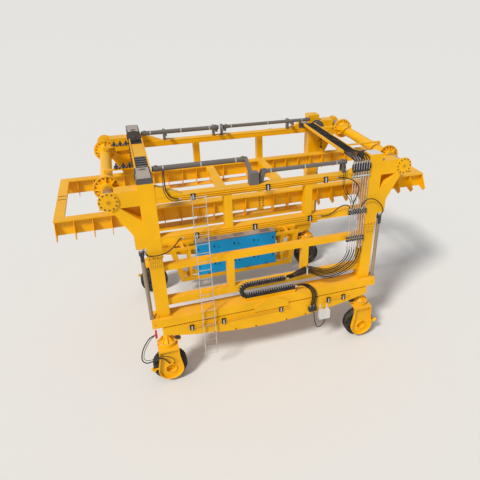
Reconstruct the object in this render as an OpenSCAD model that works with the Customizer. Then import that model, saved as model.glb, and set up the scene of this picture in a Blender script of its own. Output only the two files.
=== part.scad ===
// Telescopic straddle carrier: two side frames on four steered wheels, two cross tubes and a load frame.
// X runs lengthwise, Y across from the ladder side to the power pack side, Z up from the ground.

/* [Gantry] */
// Distance between the left and right column centres
column_spacing = 7000; // [6400:50:7600]
// Distance between the near and far column centres
column_gauge = 5010; // [4950:10:5400]
// Width of a square upper column
sleeve_w = 436; // [430:2:460]
// Wall of an upper column
sleeve_wall = 12; // [10:1:14]
// Height of the lower end of the upper columns
sleeve_bottom = 4700; // [4660:10:4760]
// Height of the top of the upper columns
sleeve_top = 7030; // [6950:10:7150]
// Width of a square lower column
leg_w = 400; // [380:2:404]
// Running clearance between a lower column and its wear pads
slide_gap = 0.4; // [0.3:0.1:1]

/* [Side beams] */
// Width of the upper lengthwise beams
rail_w = 260; // [220:10:300]
// Height of the underside of the top beam
top_rail_z = 6410; // [6380:10:6440]
// Depth of the top beam
top_rail_h = 190; // [160:10:200]
// Height of the underside of the middle beam
mid_rail_z = 5150; // [5120:10:5200]
// Depth of the middle beam
mid_rail_h = 210; // [180:10:240]
// Distance from the centre to a post of the side frame
post_x = 1260; // [1100:10:1500]
// Width of a post of the side frame
post_w = 230; // [180:10:260]
// Width of the lower lengthwise beams
truss_w = 220; // [180:10:240]
// Height of the underside of the upper beam of the lower frame
truss_top_z = 4160; // [4050:10:4200]
// Depth of the upper beam of the lower frame
truss_top_h = 190; // [160:10:200]
// Height of the underside of the bottom chord
chord_z = 2900; // [2870:10:2980]
// Depth of the bottom chord
chord_h = 240; // [200:10:260]

/* [Sills and wheel beams] */
// Height of the top of the sill
sill_top = 2540; // [2520:10:2560]
// Depth of the sill
sill_h = 280; // [240:10:300]
// Width of the sill
sill_w = 562; // [560:2:580]
// Length of the sill
sill_len = 7780; // [7760:10:7900]
// Gap between the sill and the wheel beam
beam_gap = 50; // [30:5:70]
// Width of the wheel beam
beam_w = 480; // [440:10:500]
// Length of the wheel beam past the steering axes
beam_past = 90; // [60:10:160]
// Depth of the wheel beam in the middle
beam_mid_h = 720; // [680:10:760]
// Rise of the underside from the middle to the ends
beam_rise = 460; // [380:10:470]

/* [Wheels] */
// Radius of a tyre
tyre_r = 560; // [540:5:580]
// Width of a tyre
tyre_w = 330; // [300:5:340]
// Radius of the rim under the tyre
rim_r = 295; // [280:5:310]
// Distance of the wheel centre inside the outer face of the sill
steer_inset = 244; // [230:2:260]
// Radius of the slewing ring
ring_r = 270; // [240:5:280]

/* [Cross tubes] */
// Distance from the column centre out to the cross tube
arm_reach = 1000; // [940:10:1040]
// Height of the cross tube centre
tube_z = 6650; // [6630:5:6665]
// Outer radius of the cross tube
tube_r = 175; // [170:5:190]
// Radius of the sliding shaft
shaft_r = 140; // [125:5:145]
// Half the length of a cross tube with its flanges
tube_half = 1780; // [1700:10:1800]
// Radius of the end flange
flange_r = 370; // [330:5:370]

/* [Load frame] */
// Length of the load frame
load_len = 12200; // [11600:50:12400]
// Width of the load frame over its top flanges
load_w = 3400; // [3300:10:3410]
// Height of the top of the load frame
load_top = 5810; // [5780:10:5850]
// Width of the top flanges
load_flange_w = 280; // [240:10:300]
// Distance between the ribs of the load frame
rib_pitch = 510; // [480:10:540]

/* [Power pack] */
// Length of the power pack cabinet
pack_len = 3400; // [3000:50:3500]
// Height of the underside of the cabinet
pack_z = 900; // [850:10:950]
// Height of the cabinet
pack_h = 1530; // [1450:10:1600]
// Distance from the middle of the machine to the front of the cabinet
pack_y = 1745; // [1740:5:1760]

/* [Hidden] */
$fn = 48;

yellow = [0.98, 0.70, 0.02];
grey = [0.36, 0.37, 0.39];
steel = [0.75, 0.76, 0.78];
black = [0.06, 0.06, 0.07];
blue = [0.0, 0.45, 0.80];

// Heights and places that several pieces share
column_x = column_spacing / 2;
beam_len = column_spacing + 2 * beam_past;
half_gauge = column_gauge / 2;
sleeve_half = sleeve_w / 2;
sill_bottom = sill_top - sill_h;
beam_top = sill_bottom - beam_gap;
beam_bottom = beam_top - beam_mid_h;
sill_outer = 359;
steer_y = sill_outer - steer_inset;
tube_x = arm_reach;
rail_out = sleeve_half - 15;
lift_x = sleeve_half + 147;
lift_y = -150;
sheave_y = 555;
sheave_r = 200;
sheave_z = 6990;
right_sheave_z = 6760;
chain_x = sheave_r;
link_w = 46;
link_t = 44;
link_len = 120;
seat_gap = 0.3;
lug_top = load_top + 60;

hose_stand = 55;
riser_x = 2720;
riser_pitch = 87;
riser_count = 7;
riser_y = -245;
riser_r = 15;
riser_low = 3930;
riser_top = 6950;
elbow_half = 19;
elbow_reach = 60;

// Routes of the hoses, from the near column centres: each point is x, y, z
hose_r = 20;
thin_hose_r = 16;
main_routes = [
    [[2807, -245, 3929.6], [2805, -240, 3740], [2690, -215, 3450], [2400, -205, 3220], [2060, -205, 3150],
        [1700, -205, 3270], [1340, -205, 3410], [1060, -200, 3360], [800, -165, 3210], [580.4, -145, 3160]],
    [[2981, -245, 3929.6], [2975, -245, 3700], [2820, -250, 3380], [2460, -250, 3120], [2060, -250, 3050],
        [1700, -250, 3190], [1340, -250, 3350], [1060, -245, 3310], [800, -208, 3190], [580.4, -188, 3150]],
    [[3155, -245, 3929.6], [3145, -250, 3650], [2950, -285, 3290], [2520, -295, 3020], [2060, -295, 2950],
        [1700, -295, 3100], [1340, -295, 3290], [1060, -288, 3260], [800, -251, 3170], [580.4, -231, 3140]]];
sill_routes = [
    [[890.4, -225, 2740], [1060, -250, 2790], [1280, -320, 2790], [1470, -395, 2640], [1560, -420, 2400],
        [1560, -420, 2150], [1520, -420, 1900.4]],
    [[890.4, -160, 2720], [1060, -190, 2745], [1250, -280, 2720], [1400, -385, 2590], [1460, -420, 2380],
        [1450, -420, 2130], [1400, -420, 1900.4]]];
loop_route = [[1540, -420, 1739.6], [1560, -420, 1500], [1600, -420, 1200], [1700, -420, 960], [1850, -420, 960],
    [1960, -420, 1120], [1980, -420, 1329.6]];
cylinder_route = [[-2930, 479.6, 7150], [-2935, 400, 7143], [-2950, 250, 7080], [-2970, 40, 6990],
    [-2985, -150, 6915], [-2980, -265, 6780], [-2880, -270, 6600], [-2730, -252, 6515], [-2600, -232, 6490]];
lift_left_route = [[-3760, -190, 5079.6], [-3765, -225, 4970], [-3700, -285, 4870], [-3400, -300, 4840],
    [-3100, -290, 4920], [-2870, -260, 5110], [-2740, -235, 5240], [-2620, -232, 5260]];
lift_right_route = [[3111, -245, 5330.4], [3112, -262, 5440], [3170, -300, 5590], [3310, -315, 5680],
    [3500, -325, 5650], [3700, -335, 5510], [3820, -345, 5350], [3862, -345, 5200], [3865, -305, 5090],
    [3865, -225.5, 5050]];
top_route = [[2140, -232, 6520], [2370, -255, 6510], [2700, -300, 6390], [2920, -310, 6120], [2860, -310, 5860],
    [2790, -305, 5640], [2765, -262, 5440], [2763, -245, 5330.4]];
middle_route = [[1620, -232, 5300], [1850, -240, 5270], [2060, -250, 5330], [2250, -270, 5490],
    [2440, -280, 5570], [2600, -285, 5540], [2680, -262, 5420], [2683, -245, 5330.4]];

// Slewing parts below the wheel beam, from the top down
slew_plate_z = 1500;
slew_plate_t = 40;
ring_t = 100;
fork_plate_t = 70;
ring_gap = 0.4;
fork_top = slew_plate_z - ring_gap - ring_t;

// One side frame is drawn with y = 0 at its column centres and its outer face towards -Y.
module at_side(far) {
    mirror([0, far, 0]) translate([0, -half_gauge, 0]) children();
}
// Copies of what is drawn at the right end, outwards towards +X, at both ends
module both_ends() {
    for (left = [0, 1]) mirror([left, 0, 0]) translate([column_x, 0, 0]) children();
}
// A block from its low corner to its high corner
module block(low, high) {
    translate(low) cube(high - low);
}
// A profile drawn in X and Z, pulled from y0 to y1
module slab(y0, y1) {
    translate([0, y1, 0]) rotate([90, 0, 0]) linear_extrude(y1 - y0) children();
}
// A round bar along X, Y or Z from one point over a length
module bar_x(p, len, r) { translate(p) rotate([0, 90, 0]) cylinder(h = len, r = r); }
module bar_y(p, len, r) { translate(p) rotate([-90, 0, 0]) cylinder(h = len, r = r); }
module bar_z(p, len, r) { translate(p) cylinder(h = len, r = r); }

// Upper columns with their arms, braces and the brackets of the lift cylinders
arm_h = 450;
arm_end_r = 250;
arm_plate_t = 90;
arm_short = 170;
disc_r = 265;
disc_t = 40;
cap_h = 95;
bracket_bottom = 5080;
bracket_top = 5560;
bracket_reach = 500;
bracket_in = 25;
pad_h = 180;
pad_w = 240;
upper_pad = 600;
top_plate = 20;
brace_web = 20;
brace_top = 5960;

module sleeve() {
    inner = sleeve_w - 2 * sleeve_wall;
    pad_t = (inner - leg_w) / 2 - slide_gap;
    difference() {
        translate([-sleeve_half, -sleeve_half, sleeve_bottom])
            cube([sleeve_w, sleeve_w, sleeve_top - sleeve_bottom]);
        translate([-inner / 2, -inner / 2, sleeve_bottom - 1])
            cube([inner, inner, sleeve_top - sleeve_bottom + 1 - top_plate]);
    }
    for (z = [sleeve_bottom + 30, sleeve_bottom + upper_pad], turn = [0 : 90 : 270])
        rotate([0, 0, turn])
            translate([inner / 2 - pad_t, -pad_w / 2, z]) cube([pad_t + 1, pad_w, pad_h]);
    // Bolted collar round the lower end
    difference() {
        translate([-sleeve_half - 12, -sleeve_half - 12, sleeve_bottom])
            cube([sleeve_w + 24, sleeve_w + 24, 60]);
        translate([-sleeve_half + 1, -sleeve_half + 1, sleeve_bottom - 1])
            cube([sleeve_w - 2, sleeve_w - 2, 62]);
    }
}
module arm() {
    arm_bottom = tube_z - arm_h / 2;
    box_end = tube_x - arm_short;
    slab(-sleeve_half, sleeve_half)
        translate([sleeve_half - 1, arm_bottom]) square([box_end - sleeve_half + 1, arm_h]);
    // Round end plate at the outer face, square at its lower corner, with its bolted disc
    slab(-sleeve_half, arm_plate_t - sleeve_half) union() {
        translate([box_end - 1, arm_bottom]) square([tube_x - box_end + 1, arm_h]);
        translate([tube_x, arm_bottom]) square([arm_end_r, arm_h / 2]);
        intersection() {
            translate([tube_x, tube_z]) circle(r = arm_end_r);
            translate([box_end, arm_bottom]) square([2 * arm_end_r, arm_h]);
        }
    }
    bar_y([tube_x, -sleeve_half - disc_t, tube_z], disc_t + 1, disc_r);
    bar_y([tube_x, -sleeve_half - disc_t - 12, tube_z], 13, 60);
    // Brace from under the arm's end down to the bracket
    slab(-sleeve_half, sleeve_half)
        polygon([[tube_x, arm_bottom + 20], [tube_x - 240, arm_bottom + 20], [sleeve_half - 1, brace_top],
            [sleeve_half - 1, bracket_top], [bracket_reach, bracket_top - 20]]);
    slab(sleeve_half - 120, sleeve_half - 120 + brace_web)
        polygon([[tube_x - 230, arm_bottom + 10], [sleeve_half - 1, arm_bottom + 10],
            [sleeve_half - 1, brace_top - 10]]);
    // Bracket over the lift cylinder
    slab(-sleeve_half, bracket_in)
        polygon([[sleeve_half - 1, bracket_bottom], [bracket_reach, bracket_bottom], [bracket_reach, bracket_top],
            [sleeve_half - 1, bracket_top + 40]]);
}
module columns() {
    color(yellow) {
        both_ends() {
            sleeve();
            arm();
        }
        // Box cap on the right column
        translate([column_x, 0, sleeve_top - 1])
            block([-sleeve_half, -sleeve_half, 0], [sleeve_half, sleeve_half, cap_h + 1]);
    }
}

// Upper lengthwise beams, their posts and the sloping haunches at the columns
haunch_len = 760;
haunch_h = 300;
module rails() {
    end_x = column_x - sleeve_half;
    color(yellow) {
        for (row = [[top_rail_z, top_rail_h], [mid_rail_z, mid_rail_h]]) {
            block([-end_x, -rail_out, row[0]], [end_x, rail_w - rail_out, row[0] + row[1]]);
            // Outer flange plates, one along the top and one along the bottom edge
            for (z = [row[0], row[0] + row[1] - 24])
                block([-end_x, -rail_out - 12, z], [end_x, rail_w - rail_out + 12, z + 24]);
        }
        for (side = [-1, 1]) {
            block([side * post_x - post_w / 2, -rail_out, mid_rail_z + mid_rail_h - 1],
                [side * post_x + post_w / 2, rail_w - rail_out, top_rail_z + 1]);
        }
        both_ends() slab(-rail_out, 0)
            polygon([[-sleeve_half, top_rail_z + top_rail_h - 1], [-sleeve_half, top_rail_z + top_rail_h + haunch_h],
                [-sleeve_half - 60, top_rail_z + top_rail_h + haunch_h],
                [-sleeve_half - haunch_len, top_rail_z + top_rail_h - 1]]);
    }
}

// Sheave housings inside the column tops, with the covers and the shelves that carry the cross trays
hood_top = 7200;
cheek_t = 20;
housing_half = 80;
shelf_t = 50;
tray_z = 6900;
tray_w = 450;
left_tray_x = 3460;
right_tray_x = 3050;
shelf_in = 1500;
module sheave_housing(z, cheek_h) {
    for (y = [sheave_y - housing_half - cheek_t, sheave_y + housing_half])
        slab(y, y + cheek_t) union() {
            translate([0, z]) circle(r = sheave_r + 40);
            if (cheek_h > 0) translate([-sheave_r - 15, z]) square([2 * sheave_r + 30, cheek_h]);
        }
    // Sheave on its pin
    groove_half = link_w / 2 + 4;
    for (y = [sheave_y - 45, sheave_y + groove_half]) bar_y([0, y, z], 45 - groove_half, sheave_r - 10);
    bar_y([0, sheave_y - 45, z], 90, chain_x - link_t / 2 - seat_gap);
    bar_y([0, sleeve_half, z], sheave_y + housing_half + cheek_t + 12 - sleeve_half, 45);
    // Bearer from the column to the housing
    block([-150, sleeve_half, z - 130], [150, sheave_y - housing_half - cheek_t + 1, z - 30]);
}
module hoods() {
    inner_face = sheave_y + housing_half + cheek_t;
    color(grey) {
        // Tall cover over the left column and its housing
        translate([-column_x, 0, 0]) {
            sheave_housing(sheave_z, hood_top - sheave_z - 1);
            difference() {
                block([-sleeve_half, -sleeve_half, sleeve_top], [sleeve_half, sleeve_half, hood_top]);
                for (side = [-1, 1]) translate([side * sleeve_half, 0, hood_top]) rotate([0, 45, 0])
                    cube([60, 2 * sleeve_w, 60], center = true);
            }
            slab(sleeve_half - 1, inner_face)
                polygon([[-sleeve_half, hood_top - 70], [-sleeve_half + 42, hood_top], [sleeve_half - 42, hood_top],
                    [sleeve_half, hood_top - 70], [sleeve_half - 14, hood_top - 70], [sleeve_half - 48, hood_top - 12],
                    [-sleeve_half + 48, hood_top - 12], [-sleeve_half + 14, hood_top - 70]]);
        }
        translate([column_x, 0, 0]) sheave_housing(right_sheave_z, 0);
    }
    // Shelves under the ends of the cross trays
    color(yellow) {
        block([-left_tray_x - 120, inner_face - 1, tray_z - shelf_t], [-left_tray_x + 120, shelf_in, tray_z]);
        block([right_tray_x - 120, rail_w - rail_out - 6, tray_z - shelf_t], [right_tray_x + 120, shelf_in, tray_z]);
        block([right_tray_x - 120, rail_w - rail_out - 55, top_rail_z + top_rail_h],
            [right_tray_x + 120, rail_w - rail_out - 5, tray_z]);
    }
}

// Hoist cylinders along the top of a side frame, and their brackets
near_first = [-3230, -480, sheave_y, 7150, 75];
near_second = [-200, 2560, 10, 6920, 62];
far_first = [-3230, -480, sheave_y, 7070, 75];
far_second = [-300, 3150, sheave_y, 7070, 62];
clevis_top = 6970;
module hoist_cylinder(row) {
    bar_x([row[0], row[2], row[3]], row[1] - row[0], row[4]);
    for (x = [row[0] + 60, row[1] - 160]) bar_x([x, row[2], row[3]], 100, row[4] + 14);
}
module hoist_cylinders_near() {
    top = top_rail_z + top_rail_h;
    color(grey) {
        hoist_cylinder(near_first);
        hoist_cylinder(near_second);
        // Post and side arm at the right end of the inner cylinder
        block([-600, -190, top], [-320, 30, clevis_top]);
        hull() {
            block([-560, -60, clevis_top - 120], [-460, 0, clevis_top]);
            block([-560, sheave_y - 60, near_first[3] - 70], [-460, sheave_y, near_first[3] + 60]);
        }
        // Slanted clevis legs at the left end of the outer cylinder, straight ones at its right end
        for (y = [-90, 80]) {
            slab(y, y + 25) polygon([[-300, top], [-160, top], [-70, clevis_top], [-190, clevis_top]]);
            block([2390, y, top], [2500, y + 25, clevis_top]);
        }
        for (x = [-190, 2390]) block([x, -90, clevis_top - 30], [x + 110, 105, clevis_top - 5]);
    }
}
module hoist_cylinders_far() {
    top = top_rail_z + top_rail_h;
    color(grey) {
        hoist_cylinder(far_first);
        hoist_cylinder(far_second);
        // Low brackets from the top beam out to both cylinders
        for (x = [-2450, -600, -280, 2400]) {
            block([x, -120, top], [x + 90, 30, 7000]);
            block([x, 0, 6910], [x + 90, sheave_y + 40, 7012]);
        }
    }
}

// Sliding shafts from the end plates of the arms into the cross tubes
shaft_in = 2150;
module shafts() {
    shaft_out = sleeve_half - arm_plate_t;
    color(steel) both_ends() bar_y([tube_x, -shaft_out, tube_z], shaft_in + shaft_out, shaft_r);
}

// Rods of the lift cylinders
rod_r = 45;
barrel_r = 60;
rod_low = 2950;
barrel_top = 4980;
module lift_rods() {
    color(steel) both_ends() {
        bar_z([lift_x, lift_y, rod_low], bracket_bottom - rod_low, rod_r);
        bar_z([lift_x, lift_y, bracket_bottom - 60], 60, 75);
    }
}
module lift_barrels() {
    color(grey) both_ends() difference() {
        union() {
            bar_z([lift_x, lift_y, sill_top + 70], barrel_top - sill_top - 70, barrel_r);
            bar_z([lift_x, lift_y, barrel_top - 130], 130, barrel_r + 14);
            block([lift_x - 60, lift_y - 70, sill_top], [lift_x + 60, lift_y + 70, sill_top + 90]);
        }
        bar_z([lift_x, lift_y, sill_top + 120], barrel_top - sill_top, rod_r + slide_gap);
        bar_z([lift_x, lift_y, sill_top + 120], barrel_top - sill_top - 240, rod_r + 6);
    }
}

// Chain strands from the sheaves to the lugs of the load frame, at the left or the right end
module chains(left) {
    strand_top = left == 1 ? sheave_z : right_sheave_z;
    strand_bottom = lug_top + seat_gap;
    count = floor((strand_top - strand_bottom - 60) / link_len);
    color(steel) mirror([left, 0, 0]) translate([column_x + chain_x, sheave_y, 0]) {
        block([-8, -18, strand_bottom + 10], [8, 18, strand_top]);
        for (i = [0 : count - 1])
            block([-link_t / 2, -link_w / 2, strand_bottom + 40 + i * link_len],
                [link_t / 2, link_w / 2, strand_bottom + 110 + i * link_len]);
        block([-25, -60, strand_bottom], [25, 60, strand_bottom + 30]);
        block([-link_t / 2, -link_w / 2, strand_top - 35], [link_t / 2, link_w / 2, strand_top]);
    }
}

// Access ladder on the near side frame
ladder_x = -2140;
ladder_w = 390;
ladder_y = -445;
ladder_bottom = 800;
ladder_top = 6620;
rung_pitch = 300;
module ladder() {
    color(yellow) {
        for (side = [-1, 1]) {
            translate([ladder_x + side * ladder_w / 2 - 10, ladder_y - 17, ladder_bottom])
                cube([20, 34, ladder_top - ladder_bottom]);
            for (z = [top_rail_z + top_rail_h / 2, mid_rail_z + mid_rail_h / 2])
                block([ladder_x + side * ladder_w / 2 - 10, ladder_y + 16, z - 30],
                    [ladder_x + side * ladder_w / 2 + 10, -rail_out, z + 30]);
        }
        for (z = [ladder_bottom + 60 : rung_pitch : ladder_top - 60])
            bar_x([ladder_x - ladder_w / 2, ladder_y, z], ladder_w, 10);
    }
}

// Upright pipes on the outer face of the near side frame, with their clamp bars and top elbows
module risers() {
    right_x = riser_x + (riser_count - 1) * riser_pitch;
    color(steel) for (i = [0 : riser_count - 1]) {
        x = riser_x + i * riser_pitch;
        bar_z([x, riser_y, riser_low + 59], riser_top - riser_low - 60, riser_r);
        // Coupling at the lower end, elbow block with its side pipe at the upper end
        bar_z([x, riser_y, riser_low], 60, riser_r + 7);
        block([x - elbow_half, riser_y - elbow_half, riser_top - 2 * elbow_half],
            [x + elbow_half, riser_y + elbow_half, riser_top]);
        bar_y([x, riser_y + elbow_half - 1, riser_top - elbow_half], elbow_reach, riser_r - 3);
    }
    // Clamp bars: height
    color(grey) for (z = [4180, 4290, 5180, 5280, 6480])
        block([riser_x - 60, riser_y - 22, z], [right_x + 60, riser_y + 22, z + 50]);
    // Stands that hold the clamp bars on the beams
    color(grey) for (x = [riser_x - 50, right_x + 10], z = [5180, 5280, 6480])
        block([x, riser_y + 21, z], [x + 20, -rail_out, z + 50]);
}

// A smooth path through a route's points, and a tube along it
function route_point(p, i) = i < 0 ? 2 * p[0] - p[1] : i >= len(p) ? 2 * p[len(p) - 1] - p[len(p) - 2] : p[i];
function between(a, b, c, d, t) =
    (2 * b + (c - a) * t + (2 * a - 5 * b + 4 * c - d) * t * t + (3 * b - a - 3 * c + d) * t * t * t) / 2;
function smooth(p, steps) = concat([for (i = [0 : len(p) - 2], k = [0 : steps - 1])
    between(route_point(p, i - 1), p[i], p[i + 1], route_point(p, i + 2), k / steps)], [p[len(p) - 1]]);
function unit(v) = v / norm(v);
function heading(p, i) = unit(p[min(i + 1, len(p) - 1)] - p[max(i - 1, 0)]);
// The end faces of a hose are square to the axis that it leaves along
function squared(v) = let (most = max([for (c = v) abs(c)])) [for (c = v) abs(c) == most ? sign(c) : 0];
function ring_heading(p, i) = i == 0 || i == len(p) - 1 ? squared(heading(p, i)) : heading(p, i);
module hose(route, r, side = [0, 1, 0]) {
    path = smooth(route, 3);
    sides = 8;
    rings = [for (i = [0 : len(path) - 1])
        let (ahead = ring_heading(path, i), u = unit(cross(ahead, side)), v = cross(u, ahead))
        for (k = [0 : sides - 1]) path[i] + r * (cos(k * 360 / sides) * u + sin(k * 360 / sides) * v)];
    last = (len(path) - 1) * sides;
    walls = [for (i = [0 : len(path) - 2], k = [0 : sides - 1], half = [0, 1])
        let (a = i * sides + k, b = i * sides + (k + 1) % sides)
        half == 0 ? [a, b, b + sides] : [a, b + sides, a + sides]];
    caps = [[for (k = [sides - 1 : -1 : 0]) k], [for (k = [0 : sides - 1]) last + k]];
    color(black) polyhedron(points = rings, faces = concat(walls, caps), convexity = 6);
}

// Pale box under the near wheel beam with the clamp block of the sill hoses
module junction_box() {
    wall = -sill_outer;
    color([0.8, 0.8, 0.8]) block([1740, wall - 170, 1330], [2120, wall, 1660]);
    color(grey) {
        block([1340, wall - 100, 1740], [1620, wall, 1900]);
        for (x = [1780, 2030]) block([x, wall - 8, 1659], [x + 50, wall, 1850]);
    }
}

// Lower columns on their foot plates
leg_top = 6850;
foot_w = 480;
foot_t = 25;
collar_z = 4360;
collar_h = 280;
module legs() {
    leg_half = leg_w / 2;
    color(yellow) both_ends() {
        block([-leg_half, -leg_half, sill_top + foot_t - 1], [leg_half, leg_half, leg_top]);
        block([-foot_w / 2, -leg_half - 30, sill_top], [foot_w / 2, leg_half, sill_top + foot_t]);
        // Splice plates on the outer faces
        block([-leg_half + 10, -leg_half - 14, collar_z], [leg_half - 10, -leg_half + 1, collar_z + collar_h]);
        block([leg_half - 1, -leg_half + 10, collar_z], [leg_half + 14, leg_half - 10, collar_z + collar_h]);
        // Foot gussets
        for (x = [-leg_half + 30, leg_half - 45]) slab_x(x, x + 15)
            polygon([[-leg_half - 28, sill_top + foot_t], [-leg_half, sill_top + foot_t], [-leg_half, sill_top + 220]]);
    }
}
// A profile drawn in Y and Z, pulled from x0 to x1
module slab_x(x0, x1) {
    translate([x0, 0, 0]) rotate([90, 0, 90]) linear_extrude(x1 - x0) children();
}

// Lengthwise beams between the lower columns
module truss(far) {
    end_x = column_x - leg_w / 2;
    half = truss_w / 2;
    color(yellow) {
        block([-end_x, -half, truss_top_z], [end_x, half, truss_top_z + truss_top_h]);
        block([-end_x, -half, chord_z], [end_x, half, chord_z + chord_h]);
        for (side = [-1, 1])
            block([side * post_x - post_w / 2, -half, chord_z + chord_h - 1],
                [side * post_x + post_w / 2, half, truss_top_z + 1]);
        // Stand of the hose clamp on the right post
        if (far == 0) translate([post_x - 70, -half - hose_stand, chord_z + chord_h])
            cube([140, hose_stand + 1, 360]);
    }
}

// Sill that carries the lower columns; the near one also carries the bed of the energy chain
module sill(far) {
    color(yellow) {
        difference() {
            block([-sill_len / 2, -sill_outer, sill_bottom], [sill_len / 2, sill_w - sill_outer, sill_top]);
            for (side = [-1, 1])
                bar_y([side * (sill_len / 2 - 110), -sill_outer - 1, sill_top - sill_h / 2], 60, 22);
        }
        if (far == 0)
            block([track_bend_x - 100, track_out, sill_top - 1],
                [track_lower_x, track_out + track_w, sill_top + track_bed]);
    }
}

// Fish-belly wheel beam, its pivot plates, and the kingpin housings at its ends
plate_t = 30;
cap_r = 195;
kingpin_r = 95;
steer_motor_x = -350;
module wheel_beam() {
    half = beam_len / 2;
    belly_r = (half * half + beam_rise * beam_rise) / (2 * beam_rise);
    color(yellow) {
        slab(-sill_outer, beam_w - sill_outer) intersection() {
            translate([-half, beam_bottom]) square([beam_len, beam_top - beam_bottom]);
            translate([0, beam_bottom + belly_r]) circle(r = belly_r, $fn = 360);
        }
        // Pivot block between the beam and the sill, and the plates that clasp the sill
        block([-420, -sill_outer, beam_top - 1], [420, beam_w - sill_outer, sill_bottom]);
        slab(-sill_outer - plate_t, -sill_outer)
            polygon([[-600, beam_top - 70], [600, beam_top - 70], [600, sill_bottom + 90], [180, sill_top + 40],
                [-180, sill_top + 40], [-600, sill_bottom + 90]]);
        // Kingpin housings with their ribbed caps
        both_ends() translate([0, -steer_y, 0]) {
            bar_z([0, 0, slew_plate_z + slew_plate_t], beam_top - 200 - slew_plate_z - slew_plate_t, kingpin_r);
            translate([0, 0, slew_plate_z + slew_plate_t - 1]) cylinder(h = 120, r1 = cap_r, r2 = kingpin_r + 5);
            for (turn = [0 : 45 : 315]) rotate([0, 0, turn]) slab(-8, 8)
                translate([0, slew_plate_z + slew_plate_t])
                    polygon([[kingpin_r - 5, -1], [cap_r + 40, -1], [cap_r + 40, 25], [kingpin_r - 5, 190]]);
            bar_z([0, 0, slew_plate_z], slew_plate_t, ring_r + 10);
            // Steering motor on its mounting ear
            bar_z([steer_motor_x, 0, slew_plate_z], slew_plate_t, 95);
            block([steer_motor_x, -95, slew_plate_z], [-ring_r + 60, 95, slew_plate_z + slew_plate_t]);
            bar_z([steer_motor_x, 0, slew_plate_z + slew_plate_t - 1], 150, 70);
            bar_z([steer_motor_x, 0, slew_plate_z + slew_plate_t + 148], 70, 48);
        }
    }
}

// Energy chain laid in a loop on the sill
track_h = 145;
track_w = 135;
track_bend = 140;
track_bed = 120;
track_out = -255;
track_bend_x = -760;
track_upper_x = 580;
track_lower_x = 890;
module energy_chain() {
    track_z = sill_top + track_bed;
    axis_z = track_z + track_h + track_bend;
    outer_r = track_bend + track_h;
    color(black) slab(track_out, track_out + track_w) {
        translate([track_bend_x, track_z]) square([track_lower_x - track_bend_x, track_h]);
        translate([track_bend_x, axis_z + track_bend]) square([track_upper_x - track_bend_x, track_h]);
        translate([track_bend_x, axis_z]) intersection() {
            difference() {
                circle(r = outer_r);
                circle(r = track_bend);
            }
            translate([-outer_r - 1, -outer_r - 1]) square([outer_r + 2, 2 * outer_r + 2]);
        }
    }
}

// Hanging cradle of the power pack on the far sill; y here grows inwards from the column centres
cradle_top = 2330;
cradle_low = 720;
cradle_rail = 180;
cradle_top_x = 2780;
cradle_low_x = 2430;
cradle_post_x = 2000;
module cradle() {
    front = half_gauge - pack_y;
    back = sill_w - sill_outer;
    frame_t = 90;
    color(yellow) {
        for (y = [[front - frame_t, front], [back, back + frame_t]]) slab(y[0], y[1]) {
            for (s = [-1, 1]) {
                polygon([[s * cradle_top_x, cradle_top], [s * (cradle_top_x - 200), cradle_top],
                    [s * (cradle_low_x - 200), cradle_low], [s * cradle_low_x, cradle_low]]);
                translate([s * cradle_post_x - 60, cradle_low]) square([120, cradle_top - cradle_low]);
            }
            translate([-cradle_low_x, cradle_low]) square([2 * cradle_low_x, cradle_rail - seat_gap]);
            for (s = [-1, 1]) translate([s > 0 ? pack_len / 2 + 20 : -cradle_top_x + 10, cradle_top - 120])
                square([cradle_top_x - pack_len / 2 - 30, 120]);
        }
        // Cross members and hangers onto the sill
        for (s = [-1, 1]) {
            for (x = [s * 700, s * 2100])
                block([x - 60, back + frame_t - 1, cradle_low], [x + 60, front - frame_t + 1, cradle_low + 100]);
            block([s * 2250 - 60, back + frame_t - 1, cradle_top - 100],
                [s * 2250 + 60, front - frame_t + 1, cradle_top]);
            block([s * 2250 - 160, back, cradle_top - 40], [s * 2250 + 160, back + 24, sill_top - 40]);
        }
    }
}
module power_pack() {
    front = half_gauge - pack_y;
    back = sill_w - sill_outer + 4;
    half = pack_len / 2;
    color(blue) difference() {
        block([-half, back, pack_z], [half, front, pack_z + pack_h]);
        // Grooves between the doors of the front
        for (i = [1 : 3]) block([-half + i * pack_len / 4 - 4, front - 8, pack_z + 60],
            [-half + i * pack_len / 4 + 4, front + 1, pack_z + pack_h - 60]);
    }
}

// Long load frame: flanged beams with flared ribs, tied by cross members
web_t = 24;
flange_t = 40;
web_h = 500;
strip_z = load_top - 700;
strip_t = 30;
strip_left = -3300;
strip_right = 1350;
rib_count = 12;
rib_t = 18;
plain_to = 3000;
// A rib across the web: down to the lower strip, plain over the power pack, or flared
module load_rib(x, far) {
    out = load_w / 2;
    web_y = out - load_flange_w / 2;
    under = load_top - flange_t + 1;
    web_low = load_top - web_h;
    inner = out - load_flange_w + 12;
    on_strip = x > strip_left && x < strip_right;
    plain = far == 1 && x > 0 && x < plain_to;
    slab_x(x - rib_t / 2, x + rib_t / 2)
        polygon(on_strip ? [[inner, under], [out - 20, under], [out - 10, strip_z + strip_t - 1],
                [inner, strip_z + strip_t - 1]]
            : plain ? [[inner, under], [out - 20, under], [out - 20, web_low + 60], [web_y + 10, web_low + 1],
                [web_y - 10, web_low + 1], [inner, web_low + 60]]
            : [[inner, under], [out - 20, under], [out + 250, web_low + 40], [out + 140, web_low - 90],
                [web_y + 10, web_low + 1], [web_y - 10, web_low + 1], [out - load_flange_w - 20, web_low - 90],
                [out - load_flange_w - 60, web_low + 40]]);
}
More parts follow.
